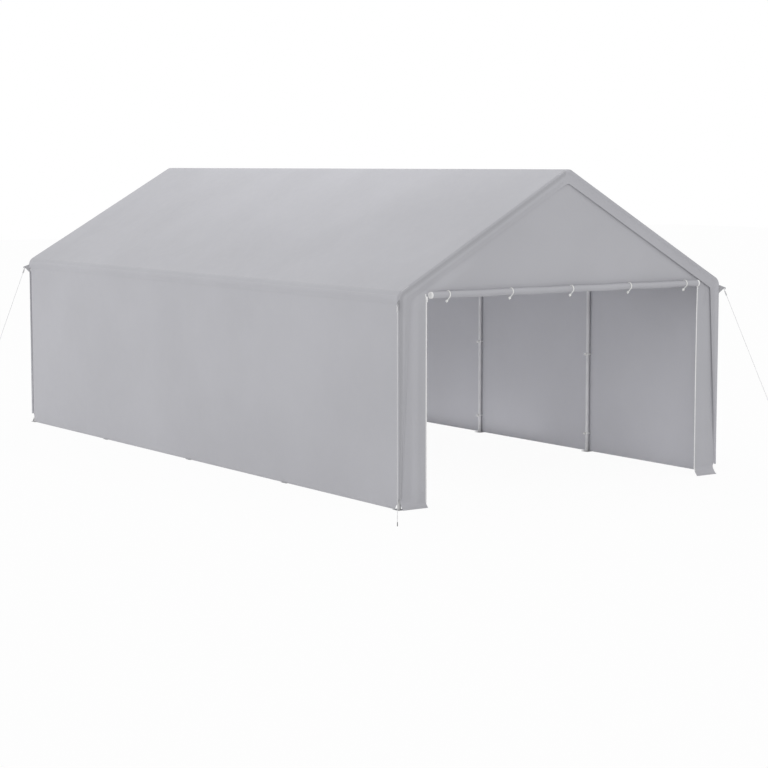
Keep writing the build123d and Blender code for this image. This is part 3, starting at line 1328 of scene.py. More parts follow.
@dataclass
class EndCloth:
    """Cloth of one end: the arch band, the gable panel and the two jambs beside the door."""

    layout: Layout
    palette: Palette
    end: End
    thickness: float = 0.0018
    band_depth: float = 0.003
    # Width of the painted shade strip along the left half of the band's outer rim
    band_hem: float = 0.048
    band_stops: Numbers = (0.0, 0.035, 0.09, 0.4, 0.7, 1.0)
    left_offsets: Numbers = (-0.03, -0.009, -0.002, -0.004, -0.002, 0.0)
    right_offsets: Numbers = (0.01, 0.01, 0.008, -0.004, -0.002, 0.0)
    left_lift: float = -0.0085
    right_lift: float = 0.0045
    lift_across: Pair = (-0.2, 0.2)
    lift_up: Pair = (0.2, 0.75)
    lift_start: float = 0.55
    narrow_top: float = 0.024
    narrow_foot: float = 0.033
    inner_radii: Triple = (0.03, 0.06, 0.03)
    rim_flare: float = 0.004
    rim_from: float = 1.7
    rim_up: Pair = (0.1, 1.7)
    rim_share: float = 0.6
    band_spans: Counts = (34, 56, 56, 34)
    bend_steps: int = 10
    across_steps: int = 26
    edge_crowd: float = 0.07
    gable_spans: Counts = (6, 60, 60, 6)
    gable_bend_steps: int = 12
    gable_steps: int = 30
    head_clear: float = 0.006
    head_lap: float = 0.004
    head_reach: float = 0.05
    gather_reach: float = 0.22
    gable_ripple: float = 0.001
    gable_pace: Numbers = (3.1, 2.0, 2.3)
    bow_width: float = 0.16
    bow_height: float = 0.5
    bow_fade: float = 0.4
    bow_clear: Pair = (-0.01, 0.09)
    fold: float = 0.0022
    jamb_pace: Numbers = (31.0, 1.1, 1.7)
    jamb_phase: float = 0.5
    jamb_lap: float = 0.002
    jamb_steps: Counts = (18, 60)
    jamb_lean: float = 0.55
    edge_shift: float = 0.006
    side_bow: float = 0.0155
    foot_slit: float = 0.016
    slit_blur: float = 0.015
    flare_height: float = 0.075
    flare_reach: float = 0.05
    flare_power: float = 1.5

    def name(self, piece: str) -> str:
        """Name of a piece of this end."""
        return f"{self.end.word}_{piece}"

    def build(self) -> None:
        """Make all the cloth of this end."""
        self.build_band()
        self.build_gable()
        for side in Side:
            self.build_jamb(side)

    def band_lines(self) -> tuple[Array, Array]:
        """Lines of the band's two edges.

        Returns:
            The arch under the roof's edge and the free inner edge, both (n, 2) in X and Z.
        """
        lay = self.layout
        top = lay.half_width - lay.strip_top_width
        foot = lay.half_width - lay.strip_foot_width
        far_top = top + self.narrow_top
        inner = [(x, lay.roof_line(abs(x), lay.band_width)) for x in (-top, 0.0, far_top)]
        feet = (-foot, lay.strip_low), (foot + self.narrow_foot, lay.strip_low)
        corners = np.array((feet[0], *inner, feet[1]))
        outer = lay.arch(self.band_depth, lay.strip_low, self.band_spans, self.bend_steps)
        return outer, rounded_line(corners, self.inner_radii, self.band_spans, self.bend_steps)

    def band_forward(self, share: Array, right: Array, inner: Array) -> Array:
        """How far the band stands in front of its own plane.

        It follows an eased curve of the share across, from the outer rim to the free inner edge. On the
        left the rim turns back under the roof and the free edge lies on the panel. On the right both
        stand forwards.

        Args:
            share: shares of the way across the band.
            right: one on the right half and zero on the left, (n, 1).
            inner: points of the free edge, (n, 2).

        Returns:
            The distances, (n, number of shares).
        """
        forward = eased(share, self.band_stops, self.left_offsets) * (1.0 - right)
        forward = forward + eased(share, self.band_stops, self.right_offsets) * right
        stand = smooth_step(inner[:, :1], *self.lift_across) * smooth_step(inner[:, 1:], *self.lift_up)
        lift = self.left_lift + (self.right_lift - self.left_lift) * stand
        return forward + lift * smooth_step(share, self.lift_start, 1.0)

    def build_band(self) -> None:
        """Make the arch band.

        Straight lines join the outer arch to the inner edge, at a share across that crowds towards both
        edges by a sine. The right strip's outer rim flares a little by smooth steps.
        """
        lay = self.layout
        outer, inner = self.band_lines()
        share = np.linspace(0.0, 1.0, self.across_steps)
        share = share - self.edge_crowd * np.sin(FULL_TURN * share)
        right = lay.right_half(outer[:, :1])
        flat = outer[:, None] * (1.0 - share)[:, None] + inner[:, None] * share[:, None]
        at_rim = 1.0 - smooth_step(share, 0.0, self.rim_share)
        strip = smooth_step(outer[:, :1], self.rim_from, lay.half_width)
        strip = strip * smooth_step(outer[:, 1:], *self.rim_up)
        x = flat[..., 0] - self.end.value * self.rim_flare * strip * at_rim
        points = grid(x, -lay.band_face - self.band_forward(share, right, inner), flat[..., 1])
        length = run_length((outer + inner) / 2)
        across = share * np.linalg.norm(inner - outer, axis=1)[:, None]
        # Painted shade: a darker strip along the outer rim on the left half, none on the right half
        hem = across * (CoverCloth.hem_width / self.band_hem) + right
        patch = shell(points, self.thickness, grid(length[:, None], across), hem).turned(self.end)
        node = self.name("band")
        band = add_piece(patch, f"{node}_cloth", self.palette.band, [node])
        width = np.linalg.norm(np.diff(points, axis=1), axis=-1).sum(axis=1)

    def build_gable(self) -> None:
        """Make the gable panel.

        Upright lines run from the door head to the arch. The panel bows forwards over the door, with a small
        product of sines and with folds, cos across the ties, that fade upwards from them by a bell.
        """
        lay = self.layout
        arch = lay.arch(lay.panel_depth, lay.valance_low, self.gable_spans, self.gable_bend_steps)
        arch = arch[arch[:, 1] > lay.door_head + self.head_clear]
        low = lay.door_head - self.head_lap
        x = arch[:, :1]
        z = low + (arch[:, 1:] - low) * np.linspace(0.0, 1.0, self.gable_steps)
        gather = np.cos(FULL_TURN * (x - lay.tie_shift) / lay.tie_pitch)
        along, slant, upward = self.gable_pace
        ripple = self.gable_ripple * np.sin(along * x + slant * z) * np.sin(upward * z)
        bow = self.fold * bell(z - lay.door_head, self.gather_reach) * gather + ripple
        bow = bow * smooth_step(z, low, low + self.head_reach)
        points = grid(x, -lay.panel_face - self.door_bulge(x, z) - bow, z)
        patch = shell(points, self.thickness, grid(x, z)).turned(self.end)
        node = self.name("gable")
        gable = add_piece(patch, f"{node}_cloth", self.palette.cloth, [node])
        self.name("band")

    def door_bulge(self, x: Array, z: Array) -> Array:
        """How far the end cloth bows forwards.

        It bows fully at the door, and by smooth steps not at all beside it, above it or under the band.

        Args:
            x: distances from the middle, of either sign.
            z: heights.

        Returns:
            The distances, in the shape that x and z give.
        """
        lay = self.layout
        depth = (lay.roof_line(0.0, 0.0) - np.abs(x) * math.tan(lay.slope) - z) * math.cos(lay.slope)
        clear = smooth_step(depth, *(lay.band_width + margin for margin in self.bow_clear))
        beside = smooth_step(lay.door_half + self.bow_width - np.abs(x), 0.0, self.bow_width / 2)
        above = smooth_step(lay.door_head + self.bow_height - z, 0.0, self.bow_height)
        return lay.door_bow * beside * above * clear

    def flatness(self, side: Side, z: Array) -> Array:
        """Smooth step down from the door head on the jamb that hangs flat, and nothing on the other."""
        below = smooth_step(self.layout.door_head - z, 0.0, self.bow_fade)
        return below if side.value * self.end.value < 0 else np.zeros_like(below)

    def jamb_front(self, side: Side, z: Array, x: Array) -> Array:
        """Distance of the jamb's face in front of the gable plane.

        It is the bulge at the door or the flare near the ground, reach * ((height - z) / height)^power,
        whichever is more, and upright folds that fade at the door head. The jamb that hangs flat has no
        bulge below the door head.

        Args:
            side: side of the door.
            z: heights.
            x: distances from the middle.

        Returns:
            The distances, in the shape that z and x give.
        """
        lay = self.layout
        drop = np.clip((lay.wall_low + self.flare_height - z) / self.flare_height, 0.0, 1.0)
        flare = self.flare_reach * drop**self.flare_power
        slack = np.sin(math.pi * np.clip(z / lay.door_head, 0.0, 1.0))
        across, slant, upward = self.jamb_pace
        wave = np.sin(across * x + slant * z) * np.sin(upward * z + self.jamb_phase)
        bulge = self.door_bulge(x, z) * (1.0 - self.flatness(side, z))
        return np.maximum(flare, bulge) + self.fold * slack * wave

    def door_edge(self, side: Side, z: Array) -> Array:
        """Distance of a jamb's inner edge from the middle, which is more where it hangs flat."""
        inward = self.edge_shift if side.value * self.end.value > 0 else 0.0
        return self.layout.door_half - inward + self.side_bow * self.flatness(side, z)

    def build_jamb(self, side: Side) -> None:
        """Make one jamb over a grid of X and Z, on the face that jamb_front gives.

        Args:
            side: side of the door, as seen in the row frame.
        """
        lay = self.layout
        columns, rows = self.jamb_steps
        z = graded(lay.wall_low, lay.door_head + self.jamb_lap, rows, self.jamb_lean)
        above = smooth_step(z, lay.strip_low - self.slit_blur, lay.strip_low + self.slit_blur)
        outer_edge = lay.half_width - lay.panel_depth - self.foot_slit * (1.0 - above)
        x = np.linspace(self.door_edge(side, z), outer_edge, columns)
        front = self.jamb_front(side, z, x) + lay.foot_hem(z)
        points = grid(side.value * x, self.end.value * (lay.panel_face + front), z)
        patch = shell(points, self.thickness, grid(x, z), z - lay.wall_low)
        node = self.name(f"{side.word}_jamb")
        jamb = add_piece(patch, f"{node}_cloth", self.palette.cloth, [node])
        self.name("gable")


@dataclass
class DoorZips:
    """White zips on the inner edges of one end's jambs: tape, chain of teeth and slider."""

    cloth: EndCloth
    tape_width: float = 0.009
    tape_thickness: float = 0.0014
    tape_low: float = 0.05
    tape_lap: float = 0.002
    tape_gap: float = 0.0003
    tape_steps: Counts = (6, 90)
    tooth: Triple = (0.006, 0.003, 0.0034)
    tooth_pitch: float = 0.0062
    tooth_inset: float = 0.001
    tooth_sides: int = 8
    chain_margin: float = 0.02
    slider: Triple = (0.018, 0.011, 0.03)
    slider_tooth: int = -3
    pull: Triple = (0.012, 0.003, 0.045)
    pull_drop_share: float = 0.35

    def build(self) -> None:
        """Make both zips of this end as one piece."""
        parts = [patch for side in Side for patch in self.one_zip(side)]
        node = self.cloth.name("zips")
        add_piece(joined(parts), f"{node}_detail", self.cloth.palette.zip_tape, [node])

    def one_zip(self, side: Side) -> list[Patch]:
        """Make one zip along its jamb's edge.

        The tape is a strip on the jamb's face. The teeth are one rounded block, copied up the tape's edge.

        Args:
            side: side of the door.

        Returns:
            Surfaces of the tape, the teeth, the slider and its pull.
        """
        cloth = self.cloth
        lay = cloth.layout
        sign = cloth.end.value
        columns, rows = self.tape_steps
        z = np.linspace(self.tape_low, lay.door_head, rows)
        inner = cloth.door_edge(side, z)
        x = np.linspace(inner - self.tape_lap, inner + self.tape_width, columns)
        front = cloth.jamb_front(side, z, x) + self.tape_thickness + self.tape_gap
        points = grid(side.value * x, sign * (lay.panel_face + front), z)
        tape = shell(points, self.tape_thickness, grid(x, z))
        low, high = self.tape_low + self.chain_margin, lay.door_head - self.chain_margin
        heights = np.arange(low, high, self.tooth_pitch)
        edge = cloth.door_edge(side, heights)
        across = side.value * (edge - self.tooth_inset)
        faces = lay.panel_face + cloth.jamb_front(side, heights, edge) + self.tape_thickness
        places = [upright(*place) for place in zip(across, sign * faces, heights)]
        teeth = pillow(*self.tooth, sides=self.tooth_sides).stamped(places)
        at, face, height = (float(row[self.slider_tooth]) for row in (across, faces, heights))
        thickness = self.slider[1]
        slider = pillow(*self.slider).stamped([upright(at, sign * (face + thickness / 2), height)])
        hang = height - self.pull[2] * self.pull_drop_share
        pull = pillow(*self.pull).stamped([upright(at, sign * (face + thickness), hang)])
        return [tape, teeth, slider, pull]


@dataclass
class RolledCurtain:
    """Door curtain of one end, wound up against the gable, with white zip tape along its side edges."""

    cloth: EndCloth
    core_radius: float = 0.008
    turns: float = 15.5
    turn_steps: int = 20
    across_steps: int = 79
    thickness: float = 0.0007
    tape_width: float = 0.018
    tape_inset_share: float = 1 / 3
    tape_rise: float = 0.0003
    tape_trim: float = 0.0002
    tape_steps: int = 4
    pinch: float = 0.1
    pinch_reach: float = 0.045
    sag: float = 0.004
    wave: float = 0.0012
    wave_pace: Pair = (17.0, 6.1)
    wave_phase: float = 0.4

    def wound(self, x: Array, rise: float, thickness: float) -> tuple[Patch, float]:
        """Wind a width of cloth or tape.

        The angle runs from the gable over the front and on inwards, and the radius falls evenly from the
        roll's to the core's. Bells at the ties draw the radius in, a product of two sines makes lumps, and
        between ties the middle sags by sin^2.

        Args:
            x: places across the door.
            rise: how far outside the curtain's cloth the surface lies.
            thickness: thickness behind the surface.

        Returns:
            The closed surface at the front, and the length that is wound.
        """
        lay = self.cloth.layout
        share = np.linspace(0.0, 1.0, int(self.turns * self.turn_steps) + 1)[:, None]
        angle = share * self.turns * FULL_TURN
        radius = lay.roll_radius + (self.core_radius - lay.roll_radius) * share
        length = run_length(np.hstack((radius * np.cos(angle), radius * np.sin(angle))))
        at_tie = np.sum(bell(x - lay.tie_places[:, None], self.pinch_reach), axis=0)
        quick, slow = self.wave_pace
        lumps = self.wave * np.sin(quick * x + self.wave_phase) * np.sin(slow * x) / lay.roll_radius
        reach = radius * (1.0 - self.pinch * at_tie + lumps) + rise
        between = np.square(np.sin(math.pi * (x - lay.tie_shift) / lay.tie_pitch))
        y = lay.roll_y + reach * np.cos(angle)
        z = lay.roll_height + reach * np.sin(angle) - self.sag * between
        axis = np.array((0.0, lay.roll_y, lay.roll_height))
        patch = shell(grid(x, y, z), thickness, grid(x, length[:, None]), None, axis)
        return patch, float(length[-1])

    def build(self) -> None:
        """Make the wound cloth and its two strips of tape."""
        cloth = self.cloth
        half = cloth.layout.roll_half
        inner = half - self.tape_width * self.tape_inset_share
        curtain, length = self.wound(np.linspace(-inner, inner, self.across_steps), 0.0, self.thickness)
        node = cloth.name("door_roll")
        roll = add_piece(curtain.turned(cloth.end), f"{node}_cloth", cloth.palette.cloth, [node])
        strip = np.linspace(half - self.tape_width, half, self.tape_steps)
        tape_thickness = self.thickness + 2 * self.tape_rise - self.tape_trim
        tapes = [self.wound(side.value * strip, self.tape_rise, tape_thickness)[0] for side in Side]
        tape = add_piece(joined(tapes).turned(cloth.end), f"{node}_tape", cloth.palette.zip_tape)
        cloth.name("gable")


# Ties, tabs and ropes


@dataclass
class BallTies:
    """Ball ties of the carport: those on the rolled curtains and those that hold the walls to the legs."""

    layout: Layout
    palette: Palette
    strand_gap: float = 0.0066
    snug_share: float = 0.93
    rise_from: float = math.radians(25)
    ball_way: float = math.radians(288.7)
    ball_reach: float = 0.0655
    door_knot_way: Triple = (0.0, 0.5, -0.866)
    wall_gap: float = 0.004
    route_steps: Counts = (34, 7)
    loop_steps: Counts = (20, 4)
    ball_sides: int = 20
    ball_steps: int = 15
    bore_angle: float = 0.16
    bore_depth_shares: Pair = (0.86, 0.98)
    bore_width_shares: Pair = (0.574, 0.7)
    knot: Triple = (0.011, 0.009, 0.009)
    knot_sides: int = 14

    def ball(self) -> Patch:
        """Ball about Z, radius * sin(t) out and -radius * cos(t) up, with a bore begun at both poles.

        Returns:
            The closed surface.
        """
        radius = self.layout.ball_radius
        t = np.linspace(self.bore_angle, math.pi - self.bore_angle, self.ball_steps)
        heights = -radius * np.cos(t)
        radii = radius * np.sin(t)
        depth = heights[0] * np.array(self.bore_depth_shares)
        width = radii[0] * np.array(self.bore_width_shares)
        heights = np.concatenate((depth, heights, -depth[::-1]))
        return lathe(heights, np.concatenate((width, radii, width[::-1])), self.ball_sides)

    def strand_pair(self, path: Array, aside: Array) -> Patch:
        """Two strands of elastic, side by side along a path that never goes aside."""
        shifts = (-self.strand_gap / 2, self.strand_gap / 2)
        return joined([bar(path + aside * shift, self.layout.elastic_radius, aside) for shift in shifts])

    def knotted_ball(self, point: Array, way: Array, across: Array) -> Patch:
        """A ball at a point, with the elastic's knot on it.

        Args:
            point: the ball's middle.
            way: direction from there to the knot.
            across: a direction across that one.

        Returns:
            The surfaces of both.
        """
        knot_place = upright(*(point + self.layout.ball_radius * way))
        knot = pillow(*self.knot, power=1.0, sides=self.knot_sides).stamped([knot_place])
        return joined([self.ball().stamped([facing(point, -way, across)]), knot])

    def door_path(self) -> tuple[Array, Array]:
        """Route of one elastic: from the gable over the roll, round its front and straight on to the ball.

        Returns:
            Points of the route (n, 3) and the ball's middle.
        """
        lay = self.layout
        reach = lay.roll_radius * self.snug_share + lay.elastic_radius
        leave = self.ball_way - math.acos(reach / self.ball_reach)
        round_roll, straight = self.route_steps
        angle = np.linspace(self.rise_from, leave, round_roll)
        centre = np.array((0.0, lay.roll_y, lay.roll_height))
        arc = centre + reach * grid(0.0, np.cos(angle), np.sin(angle))
        middle = centre + self.ball_reach * np.array((0.0, math.cos(self.ball_way), math.sin(self.ball_way)))
        return np.concatenate((arc, np.linspace(arc[-1], middle, straight + 1)[1:])), middle

    def build_door(self, end: End) -> None:
        """Make the ties of one rolled curtain: two strands and a ball with its knot, at each place.

        Args:
            end: end of the carport.
        """
        path, middle = self.door_path()
        places = [upright(x, 0.0, 0.0) for x in self.layout.tie_places]
        elastic = self.strand_pair(path, X_AXIS).stamped(places).turned(end)
        hard = self.knotted_ball(middle, np.array(self.door_knot_way), X_AXIS).stamped(places).turned(end)
        node = f"{end.word}_door_ties"
        add_piece(elastic, f"{node}_elastic", self.palette.elastic)
        add_piece(hard, f"{node}_balls", self.palette.white_plastic)

    def build_walls(self, side: Side) -> None:
        """Make the ties of one wall: a doubled elastic round each middle leg, with its ball inside.

        The route runs from the wall along one flank of the leg, half round it and back along the other.

        Args:
            side: side of the carport.
        """
        lay = self.layout
        reach = lay.tube_radius + lay.elastic_radius
        round_leg, straight = self.loop_steps
        angle = np.linspace(-math.pi / 2, -1.5 * math.pi, round_leg)
        arc = grid(lay.leg_x + reach * np.cos(angle), reach * np.sin(angle), 0.0)
        wall = lay.wall_face - self.wall_gap
        lead = np.linspace((wall, -reach, 0.0), arc[0], straight, endpoint=False)
        back = np.linspace(arc[-1], (wall, reach, 0.0), straight + 1)[1:]
        places = [upright(0.0, y, z) for y in lay.frame_places[1:-1] for z in lay.wall_tie_heights]
        elastic = self.strand_pair(np.concatenate((lead, arc, back)), Z_AXIS).stamped(places)
        seat = X_AXIS * (lay.leg_x - reach - lay.elastic_radius - lay.ball_radius)
        hard = self.knotted_ball(seat, -X_AXIS, Z_AXIS).stamped(places)
        node = f"{side.word}_wall_ties"
        add_piece(elastic.mirrored(side.value, 1.0), f"{node}_elastic", self.palette.elastic)
        add_piece(hard.mirrored(side.value, 1.0), f"{node}_balls", self.palette.white_plastic)


@dataclass
class GuyLines:
    """Corner tabs with their eyelets, and the twisted guy ropes that run from them to the ground pegs."""

    layout: Layout
    palette: Palette
    rise: float = 0.038
    fall: float = 0.058
    reach: float = 0.076
    strap_length: float = 0.028
    strap_height: float = 0.018
    tab_thickness: float = 0.0026
    tab_steps: Counts = (16, 20)
    eyelet_inset: float = 0.012
    eyelet_radius: float = 0.004
    eyelet_steps: Counts = (60, 8)
    wire_radius: float = 0.002
    wire_inset: float = 0.0008
    strand_radius: float = 0.0014
    strand_sides: int = 6
    strand_count: int = 3
    lay_radius: float = 0.0013
    lay_length: float = 0.028
    turn_steps: int = 9
    frame_lean: float = 0.37
    loop_length: float = 0.03
    loop_width: float = 0.012
    loop_radius: float = 0.0021
    loop_steps: int = 25
    whip_length: float = 0.028
    whip_radius: float = 0.0036
    whip_relief: float = 0.0005
    whip_pitch: float = 0.0031
    whip_end_radius: float = 0.0022
    whip_steps: int = 36
    whip_sides: int = 12
    clip: Triple = (0.016, 0.012, 0.052)
    clip_lap: float = 0.014

    @property
    def neck(self) -> Pair:
        """Where a tab's triangle goes over into its strap: metres out, and up to the sloping upper edge."""
        out = self.reach - self.strap_length
        return out, self.rise + (self.strap_height / 2 - self.rise) * out / self.reach

    @property
    def eye(self) -> Array:
        """Middle of a tab's eyelet, in metres out and up."""
        return np.array((self.reach - self.eyelet_inset, 0.0))

    def on_tab(self, flat: Array, lift: float) -> Array:
        """Points of the front left tab: out from the corner along the diagonal, and up.

        Args:
            flat: metres out, and up from the strap's middle, (..., 2).
            lift: distance in front of the tab's middle plane.

        Returns:
            Places, (..., 3).
        """
        low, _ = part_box("corner_tabs")
        corner = np.array((-self.layout.half_width, -self.layout.band_face, low.z + self.fall))
        outward = unit(-X_AXIS - Y_AXIS)
        aside = np.cross(Z_AXIS, outward)
        return corner + flat[..., :1] * outward + flat[..., 1:] * Z_AXIS - aside * lift

    def tab_grids(self) -> tuple[Array, Array]:
        """Grids of a tab's two parts, in metres out and up.

        The triangle is a grid between its lower and its upper edge. In the strap, rays from the eyelet's
        middle meet the nearest of the four edges, and each is divided from the eyelet's rim to that edge.

        Returns:
            The triangle's points and the strap's, (rows, columns, 2), where the strap's rows go all round.
        """
        neck, neck_top = self.neck
        half = self.strap_height / 2
        rows, columns = self.tab_steps
        out = np.linspace(0.0, neck, rows)[:, None]
        lower = -self.fall + (self.fall - half) * out / neck
        upper = self.rise + (neck_top - self.rise) * out / neck
        triangle = grid(out, lower + (upper - lower) * np.linspace(0.0, 1.0, columns))
        corners = np.array(((neck, -half), (self.reach, -half), (self.reach, half), (neck, neck_top)))
        rays, steps = self.eyelet_steps
        angle = circle(rays)
        ray = grid(np.cos(angle), np.sin(angle))
        edge = np.roll(corners, -1, axis=0) - corners
        normal = np.stack((edge[:, 1], -edge[:, 0]), axis=1)
        pace = ray @ normal.T
        gap = np.sum((corners - self.eye) * normal, axis=1)
        with np.errstate(divide="ignore"):
            span = np.where(pace > 0.0, gap / pace, np.inf).min(axis=1)[:, None]
        far = self.eyelet_radius + (span - self.eyelet_radius) * np.linspace(0.0, 1.0, steps)
        return triangle, self.eye + ray[:, None] * far[..., None]

    def build_tabs(self) -> None:
        """Make the four tabs as one piece and their eyelets as another."""
        triangle, strap = self.tab_grids()
        lift = self.tab_thickness / 2
        behind, middle, before = (self.on_tab(self.eye, way) for way in (-1.0, 0.0, 1.0))
        tab = joined(
            [
                shell(self.on_tab(triangle, lift), self.tab_thickness, triangle, None, behind),
                shell(self.on_tab(strap, lift), self.tab_thickness, strap, None, behind, closed=True),
            ]
        )
        wire = ring(self.eyelet_radius + self.wire_radius - self.wire_inset, self.wire_radius)
        eyelet = wire.stamped([facing(middle, before - middle, Z_AXIS)])
        signs = [(x, y) for x in (1.0, -1.0) for y in (1.0, -1.0)]
        tabs, rings = (joined([one.mirrored(x, y) for x, y in signs]) for one in (tab, eyelet))
        piece = add_piece(tabs, "corner_tab_webbing", self.palette.webbing, ["corner_tabs"])
        eyelets = add_piece(rings, "corner_tab_eyelets", self.palette.zinc)

    def loop(self, tip: Array, along: Array, across: Array) -> Patch:
        """Eye of rope: a long ring, centre - along * cos(angle) + across * sin(angle), times its half sizes.

        Args:
            tip: where its far end lies.
            along: direction of the rope, from the tip.
            across: the direction in which the ring opens.

        Returns:
            The closed surface.
        """
        angle = np.linspace(0.0, FULL_TURN, self.loop_steps)[:, None]
        centre = tip + along * self.loop_length / 2
        path = centre - along * (self.loop_length / 2) * np.cos(angle)
        path = path + across * (self.loop_width / 2) * np.sin(angle)
        return bar(path, self.loop_radius, np.cross(along, across))

    def strand(self, start: Array, end: Array, phase: float) -> Patch:
        """One strand: a helix about the straight line from start to end.

        Args:
            start: top of the rope.
            end: foot of the rope.
            phase: angle at which the strand starts.

        Returns:
            The strand's surface.
        """
        length = float(np.linalg.norm(end - start))
        along = (end - start) / length
        side = unit(np.cross(along, Z_AXIS))
        rise = np.cross(side, along)
        run = np.linspace(0.0, length, int(length / self.lay_length * self.turn_steps))[:, None]
        angle = phase + FULL_TURN * run / self.lay_length
        path = start + along * run + self.lay_radius * (np.cos(angle) * side + np.sin(angle) * rise)
        return bar(path, self.strand_radius, side + rise * self.frame_lean, self.strand_sides)

    def whipping(self, place: Array, way: Array, aside: Array) -> Patch:
        """Thread wound round a rope's end: a bar whose radius goes up and down by cos with every winding.

        Args:
            place: where it starts.
            way: direction of the rope from there.
            aside: a direction across the rope.

        Returns:
            The closed surface.
        """
        run = np.linspace(0.0, self.whip_length, self.whip_steps)
        radius = self.whip_radius + self.whip_relief * np.cos(FULL_TURN * run / self.whip_pitch)
        radius[[0, -1]] = self.whip_end_radius
        return bar(place + way * run[:, None], radius, aside, self.whip_sides)

    def build_ropes(self) -> None:
        """Make the four ropes: strands, an eye and a whipping at both ends, and a clip at the top."""
        low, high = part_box("front_left_rope")
        top = np.array((high.x, high.y, high.z - self.lay_radius))
        foot = np.array((low.x, low.y, low.z + self.lay_radius))
        along = unit(foot - top)
        aside = unit(np.cross(along, Z_AXIS))
        start = top + along * self.loop_length
        end = foot - along * self.loop_length
        strands = [self.strand(start, end, float(phase)) for phase in circle(self.strand_count)]
        upper_eye = self.loop(top - along * self.eyelet_inset, along, aside)
        lower_eye = self.loop(foot, -along, np.cross(aside, along))
        wraps = [self.whipping(start, along, aside), self.whipping(end, -along, aside)]
        rope = joined([*strands, upper_eye, lower_eye, *wraps])
        clip_middle = start + along * (self.clip[2] / 2 - self.clip_lap)
        clip = pillow(*self.clip).stamped([facing(clip_middle, along, aside)])
        for corner_end in End:
            for side in Side:
                node = f"{corner_end.word}_{side.word}_rope"
                mirror = (-float(side.value), -float(corner_end.value))
                add_piece(rope.mirrored(*mirror), f"{node}_strands", self.palette.rope, [node])
                add_piece(clip.mirrored(*mirror), f"{node}_clip", self.palette.pale_plastic)

    def build(self) -> None:
        """Make the tabs and the ropes."""
        self.build_tabs()
        self.build_ropes()


# Steel frame


@dataclass
class SteelFrame:
    """Finishes of the frame's tubes, fittings, feet and pegs, and the bolts that lock the sockets."""

    layout: Layout
    palette: Palette
    socket_middle: float = 0.04
    head_height: float = 0.0055
    head_radius: float = 0.0075
    head_chamfer: float = 0.0008
    head_shares: Numbers = (0.4, 1.0, 1.0, 0.82)
    head_sides: int = 6
    washer_radius: float = 0.0095
    washer_height: float = 0.0016
    washer_shares: Numbers = (0.4, 1.0, 1.0, 0.4)
    washer_sides: int = 20
    seat_depth: float = 0.0006

    def dress(self) -> None:
        """Give every frame node that stays its material."""
        painted = ["left_rafters", "right_rafters", "ridge_fittings", "ridge_purlin"]
        for side in Side:
            painted += [*leg_names(side), f"{side.word}_eave_fittings", f"{side.word}_eave_purlin"]
        dressed = [(name, self.palette.paint) for name in painted]
        dressed += [(f"{side.word}_feet", self.palette.zinc) for side in Side]
        dressed += [("ground_pegs", self.palette.dull_zinc)]
        for name, finish in dressed:
            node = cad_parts[name]
            node.data.materials.clear()
            node.data.materials.append(finish)
            logger.info("%s: %s", name, finish.name)

    def bolt(self) -> Patch:
        """Hexagon bolt on a round washer, standing on the XY plane: two turned pieces.

        Returns:
            The surfaces of both.
        """
        base = self.washer_height
        top = base + self.head_height
        washer_heights = np.array((0.0, 0.0, base, base))
        washer = lathe(washer_heights, np.array(self.washer_shares) * self.washer_radius, self.washer_sides)
        head_heights = np.array((base, base, top - self.head_chamfer, top))
        head = lathe(head_heights, np.array(self.head_shares) * self.head_radius, self.head_sides)
        return joined([washer, head])

    def build_bolts(self) -> None:
        """Make the bolts: one through each leg and rafter socket, facing into the bay."""
        lay = self.layout
        low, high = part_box("right_rafters")
        down_slope = np.array((math.cos(lay.slope), 0.0, -math.sin(lay.slope)))
        under = np.array((-math.sin(lay.slope), 0.0, -math.cos(lay.slope)))
        inset = lay.tube_radius * np.array((-math.sin(lay.slope), 0.0, math.cos(lay.slope)))
        rafter_foot = np.array((high.x, 0.0, low.z)) + inset
        rafter_head = np.array((low.x, 0.0, high.z)) - inset
        seats = [
            (np.array((lay.leg_x, 0.0, lay.leg_top - self.socket_middle)), -X_AXIS),
            (rafter_foot - down_slope * self.socket_middle, under),
            (rafter_head + down_slope * self.socket_middle, under),
        ]
        places = []
        for axis_point, way in seats:
            for y in lay.frame_places:
                point = axis_point + way * (lay.fitting_radius - self.seat_depth) + Y_AXIS * y
                places.append(facing(point, way, Y_AXIS))
        half = self.bolt().stamped(places)
        both = joined([half, half.mirrored(-1.0, 1.0)])
        add_piece(both, "socket_bolts", self.palette.zinc)

    def build(self) -> None:
        """Dress the nodes and add the bolts."""
        self.dress()
        self.build_bolts()


# Studio


@dataclass(frozen=True)
class Panel:
    """Soft panel lamp that no camera or reflection sees, and whose back looks away from what it lights."""

    name: str
    place: Triple
    back: Triple
    size: Pair
    level: float

    def hang(self) -> None:
        """Put the lamp in the scene."""
        panel = bpy.data.lights.new(self.name, "AREA")
        panel.shape = "RECTANGLE"
        panel.size, panel.size_y = self.size
        panel.energy = self.level
        lamp = link(self.name, panel)
        lamp.matrix_world = Matrix(facing(self.place, self.back, Y_AXIS).tolist())
        lamp.visible_camera = False
        lamp.visible_glossy = False


